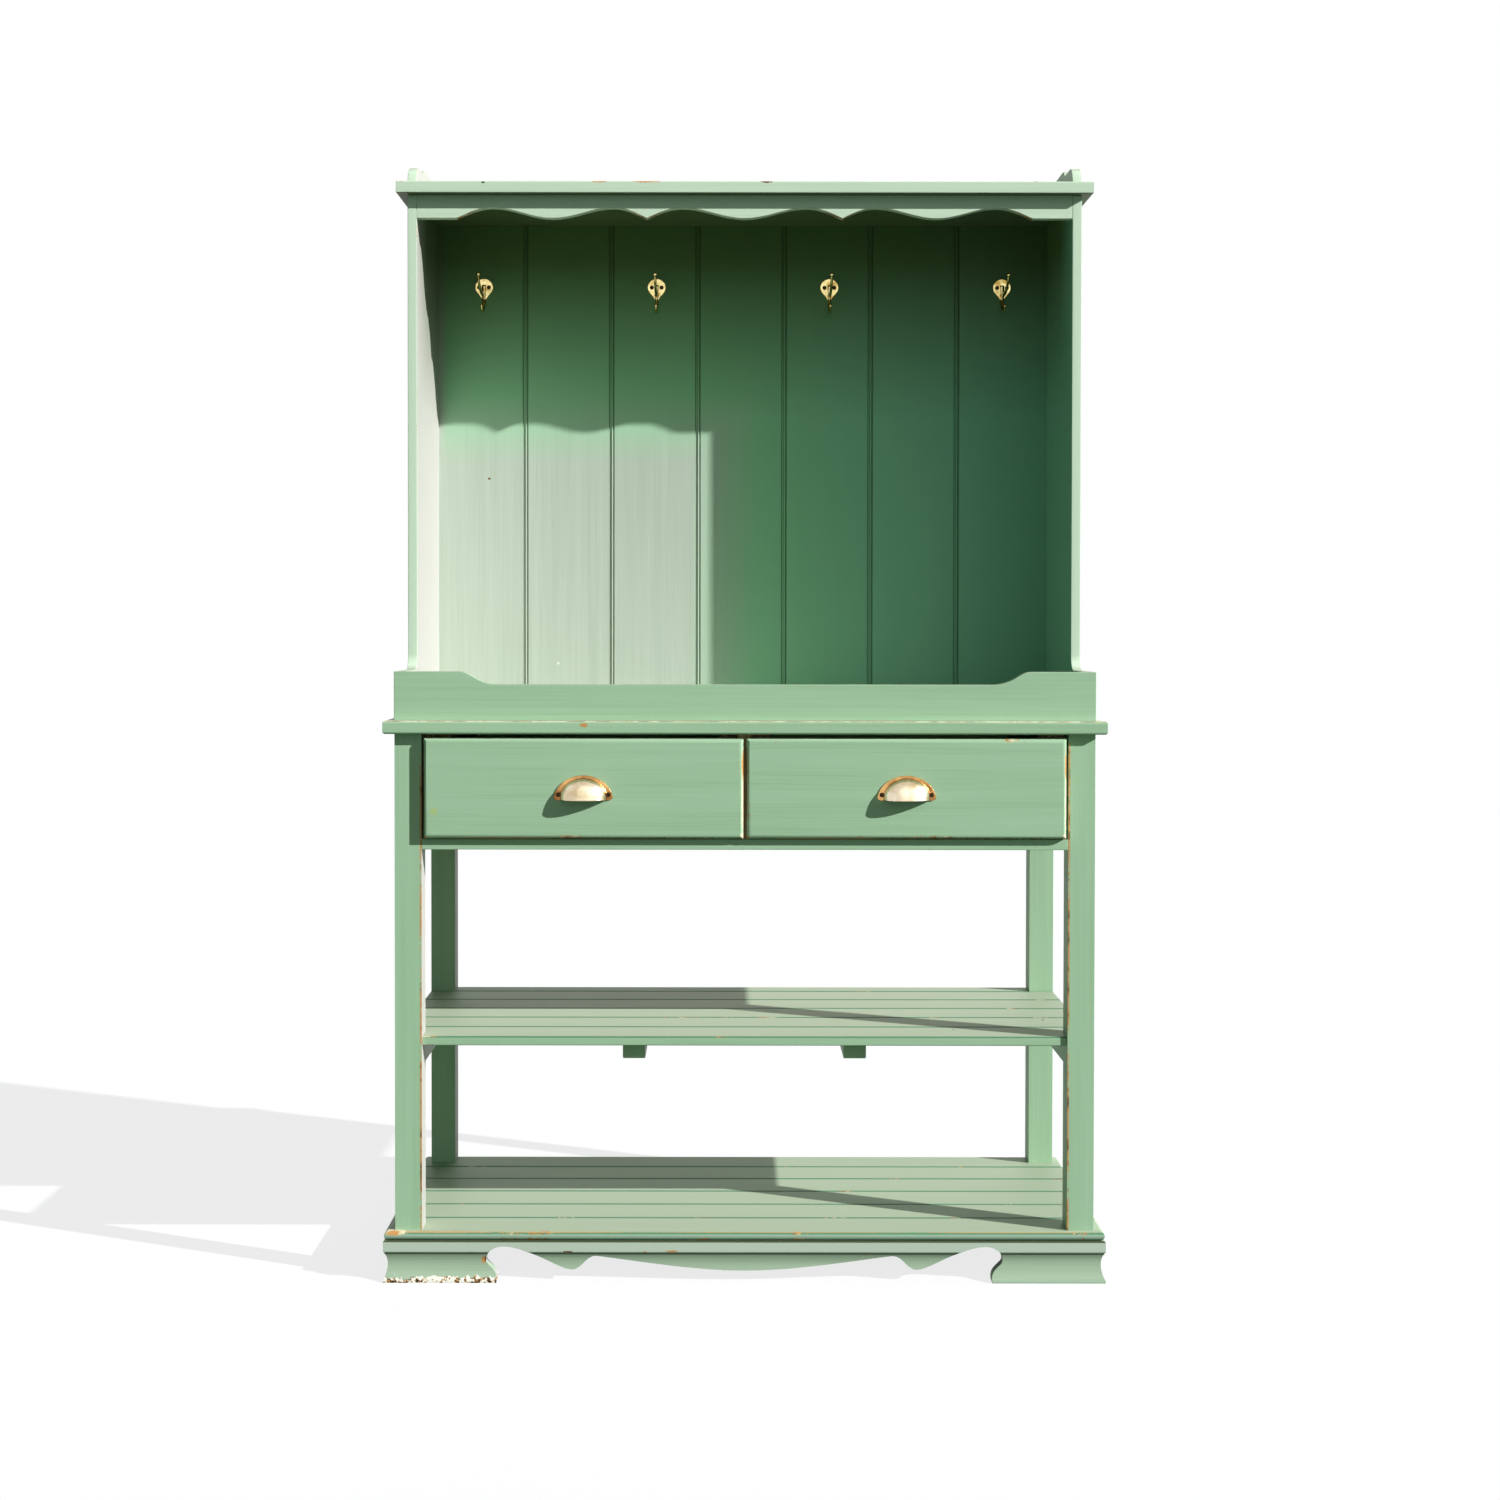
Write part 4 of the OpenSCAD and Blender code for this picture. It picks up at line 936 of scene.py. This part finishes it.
# %% Cast the pulls and put up two
cup = skin_over("cup_pull", [pull_slice(math.pi * k / SLICES) for k in range(SLICES + 1)])
drill(cup, PULL_SCREWS, FLANGE)
cup_shape = settle(cup, rubbed_brass)
for side in ("left", "right"):
    low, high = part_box("drawer_" + side + "_pull")
    middle = Vector(((low[0] + high[0]) / 2, high[1], low[2]))
    put_up("cup_pull_" + side, cup_shape, middle, "drawer_" + side, "drawer_" + side + "_pull")
print("cup pulls", len(cup_shape.polygons), "faces each")

# %% [markdown]
# Coat hooks
#
# A hat and coat hook is one casting: a plate like a drop, a rib down its middle, a long prong that
# rises to a ball and a short one that falls and turns up. The parts flow into each other. They could
# be joined by hand, seam by seam. It is quicker to push plain parts into each other and let a fine
# voxel skin run over all of them, then to smooth it, which rounds the inner corners as a mould does.

# %% The parts of a coat hook
PLATE_R = 16.5 * MM
PLATE = 3 * MM
STEM = 28 * MM


def bend(points, share):
    """A point on a curve that leaves the first point towards the second and ends at the last."""
    a, b, c, d = [Vector(p) for p in points]
    rest = 1 - share
    return a * rest ** 3 + b * 3 * rest ** 2 * share + c * 3 * rest * share ** 2 + d * share ** 3


def rod(form, path, radii, sides=16):
    """A round rod in the upright middle plane, along a path of depths and heights."""
    last = len(path) - 1
    rings = []
    for i, point in enumerate(path):
        way = (path[min(i + 1, last)] - path[max(i - 1, 0)]).normalized()
        ring = []
        for k in range(sides):
            turn = math.tau * k / sides
            across = radii[i] * math.cos(turn)
            off = radii[i] * math.sin(turn)
            ring.append(form.verts.new((across, point.x + way.y * off, point.y - way.x * off)))
        rings.append(ring)
    for near, far in zip(rings, rings[1:]):
        for k in range(sides):
            form.faces.new((near[k], near[(k + 1) % sides], far[(k + 1) % sides], far[k]))
    form.faces.new(rings[0])
    form.faces.new(rings[-1])


def plate_outline():
    """Points around the drop, from its right over the top to its left and down to the stem."""
    points = [(PLATE_R * math.cos(math.pi * k / 20), PLATE_R * math.sin(math.pi * k / 20)) for k in range(21)]
    left = [(-PLATE_R, 0), (-PLATE_R, -0.7 * PLATE_R), (-2.6 * MM, -0.9 * PLATE_R), (-2.6 * MM, -STEM)]
    fall = [bend(left, k / 8) for k in range(1, 9)]
    return points + [(p.x, p.y) for p in fall] + [(-p.x, p.y) for p in reversed(fall)]


def plate_parts(form):
    """The flat plate, and the rib down its middle."""
    outline = plate_outline()
    back = [form.verts.new((x, 0, z)) for x, z in outline]
    front = [form.verts.new((x, -PLATE, z)) for x, z in outline]
    form.faces.new(back)
    form.faces.new(front)
    for k in range(len(outline)):
        n = (k + 1) % len(outline)
        form.faces.new((back[k], back[n], front[n], front[k]))
    rib = [Vector((-2.0 * MM, 3 * MM - (STEM + 1 * MM) * k / 8)) for k in range(9)]
    rod(form, rib, [3.4 * MM - 0.1 * MM * k for k in range(9)])


print("a plate has", len(plate_outline()), "points")

# %% Cast the hook and hang four
UPPER = [(-1.5, -15), (-33.6, -20), (-81.6, -16), (-96, 9)]
LOWER = [(-1.5, -22), (-11.5, -49), (-32.2, -55), (-46, -39)]
PRONG_ROOT = 3.2
PRONG_TIP = 2.2
UPPER_BALL = 3.9
LOWER_BALL = 2.7
HOOK_SCREWS = [(-8.9 * MM, 0), (8.9 * MM, 0)]
VOXEL = 0.6 * MM


def prong(form, points, thick, thin, ball):
    """A prong that thins out along its curve and ends in a ball, all in millimetres."""
    steps = 24
    path = [bend([(y * MM, z * MM) for y, z in points], k / steps) for k in range(steps + 1)]
    rod(form, path, [(thick + (thin - thick) * k / steps) * MM for k in range(steps + 1)])
    tip = bmesh.ops.create_icosphere(form, subdivisions=3, radius=ball * MM)["verts"]
    bmesh.ops.translate(form, verts=tip, vec=(0, path[-1].x, path[-1].y))


def cast_hook():
    """The parts of a hook pushed together, skinned, smoothed and drilled."""
    form = bmesh.new()
    plate_parts(form)
    prong(form, UPPER, PRONG_ROOT, PRONG_TIP, UPPER_BALL)
    prong(form, LOWER, PRONG_ROOT, PRONG_TIP, LOWER_BALL)
    bmesh.ops.recalc_face_normals(form, faces=form.faces)
    made = bpy.data.meshes.new("coat_hook")
    form.to_mesh(made)
    form.free()
    piece = bpy.data.objects.new("coat_hook", made)
    skin = piece.modifiers.new("skin", "REMESH")
    skin.mode = "VOXEL"
    skin.voxel_size = VOXEL
    soft = piece.modifiers.new("soft", "SMOOTH")
    soft.factor = 0.5
    soft.iterations = 5
    drill(piece, HOOK_SCREWS, PLATE)
    return settle(piece, yellow_brass)


hook_shape = cast_hook()
for number in range(1, 5):
    low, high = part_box("hook_" + str(number))
    middle = Vector(((low[0] + high[0]) / 2, high[1], high[2] - PLATE_R))
    put_up("coat_hook_" + str(number), hook_shape, middle, "stand", "hook_" + str(number))
print("coat hooks", len(hook_shape.polygons), "faces each")

# %% [markdown]
# Paper and sunlight for the bench
#
# The bench was cut out and stands on white paper, but it was photographed outside, in low sun from the
# front right. The sun draws the crisp edges of the crown's, the valance's and the pulls' shadows. A
# lamp near the bench would spread them, so the light comes from far away and its rays are parallel.
# A broad weak light from the front stands for the sky, and another from behind keeps the back
# readable when someone walks round. Light from everywhere would hide the depth of the hutch. The
# floor shows itself paler to the camera than to the bench, so that it looks like white paper and
# still doesn't light the bench from below.

# %% Floor
FLOOR_REACH = 30.0
PAPER_SEEN = 0.95
PAPER_LIT = (0.05, 0.10, 0.06, 1)
SHOWN_WHITE = 0.80


def floor_sheet():
    """A flat sheet."""
    made = bpy.data.meshes.new("floor")
    r = FLOOR_REACH
    made.from_pydata([(-r, -r, 0), (r, -r, 0), (r, r, 0), (-r, r, 0)], [], [(0, 1, 2, 3)])
    return bpy.data.objects.new("floor", made)


def seen_rays(tree):
    """1 for rays from the camera and for those that it sees in metal or through glass."""
    rays = add(tree, "ShaderNodeLightPath").outputs
    mirrored = combine(tree, "MAXIMUM", rays["Is Glossy Ray"], rays["Is Transmission Ray"])
    return combine(tree, "MAXIMUM", rays["Is Camera Ray"], mirrored)


def paper_white():
    """Paper that is nearly white to the camera, and takes a shadow."""
    made, tree, shader = new_finish("paper_white", 0.9)
    seen = seen_rays(tree)
    shown = (PAPER_SEEN, PAPER_SEEN, PAPER_SEEN, 1)
    tree.links.new(mix(tree, seen, PAPER_LIT, shown), shader.inputs["Base Color"])
    shader.inputs["Specular IOR Level"].default_value = 0.1
    glow = add(tree, "ShaderNodeEmission", {"Color": (1, 1, 1, 1), "Strength": 1.0})
    share = times(tree, seen, SHOWN_WHITE)
    both = add(tree, "ShaderNodeMixShader", {0: share, 1: shader.outputs[0], 2: glow.outputs[0]})
    tree.links.new(both.outputs[0], tree.nodes["Material Output"].inputs["Surface"])
    return made


floor = floor_sheet()
floor.data.materials.append(paper_white())
scene.collection.objects.link(floor)
print("floor", 2 * FLOOR_REACH, "metres wide")

# %% Room light
ROOM_LIGHT = 0.04
ROOM_TINT = (0.20, 1.0, 0.72, 1)


def light_room():
    """An even room, white to the camera, and dimmer and tinted green-blue to the bench."""
    world = bpy.data.worlds.new("room")
    scene.world = world
    world.use_nodes = True
    tree = world.node_tree
    strength = combine(tree, "ADD", times(tree, seen_rays(tree), 1 - ROOM_LIGHT), ROOM_LIGHT)
    back = tree.nodes["Background"]
    tree.links.new(mix(tree, seen_rays(tree), ROOM_TINT, (1, 1, 1, 1)), back.inputs["Color"])
    tree.links.new(strength, back.inputs["Strength"])


light_room()
print("room light", ROOM_LIGHT)

# %% Sun, sky and a light from behind
LIGHT_FROM = Vector((2.2, -1.0, 1.21)).normalized()
LIGHT_STRENGTH = 6.25
LIGHT_SOFT = math.radians(0.6)
FILL_FROM = Vector((0.15, -1.0, 0.5)).normalized()
FILL_STRENGTH = 0.40
FILL_SOFT = math.radians(60)
FILL_TINT = (0.90, 1.0, 0.90)
BACK_FROM = Vector((0.2, 1.0, 0.1)).normalized()
BACK_STRENGTH = 1.5


def far_light(name, comes_from, strength, soft, tint=(1.0, 1.0, 1.0)):
    """Light from far away, which comes from a patch of that angle."""
    lamp = bpy.data.lights.new(name, "SUN")
    lamp.energy = strength
    lamp.angle = soft
    lamp.color = tint
    made = bpy.data.objects.new(name, lamp)
    made.rotation_euler = comes_from.to_track_quat("Z", "Y").to_euler()
    scene.collection.objects.link(made)
    return made


far_light("key_light", LIGHT_FROM, LIGHT_STRENGTH, LIGHT_SOFT)
far_light("fill_light", FILL_FROM, FILL_STRENGTH, FILL_SOFT, FILL_TINT)
behind = far_light("back_light", BACK_FROM, BACK_STRENGTH, FILL_SOFT)
behind.visible_glossy = False
print("key light from", [round(v, 2) for v in LIGHT_FROM])
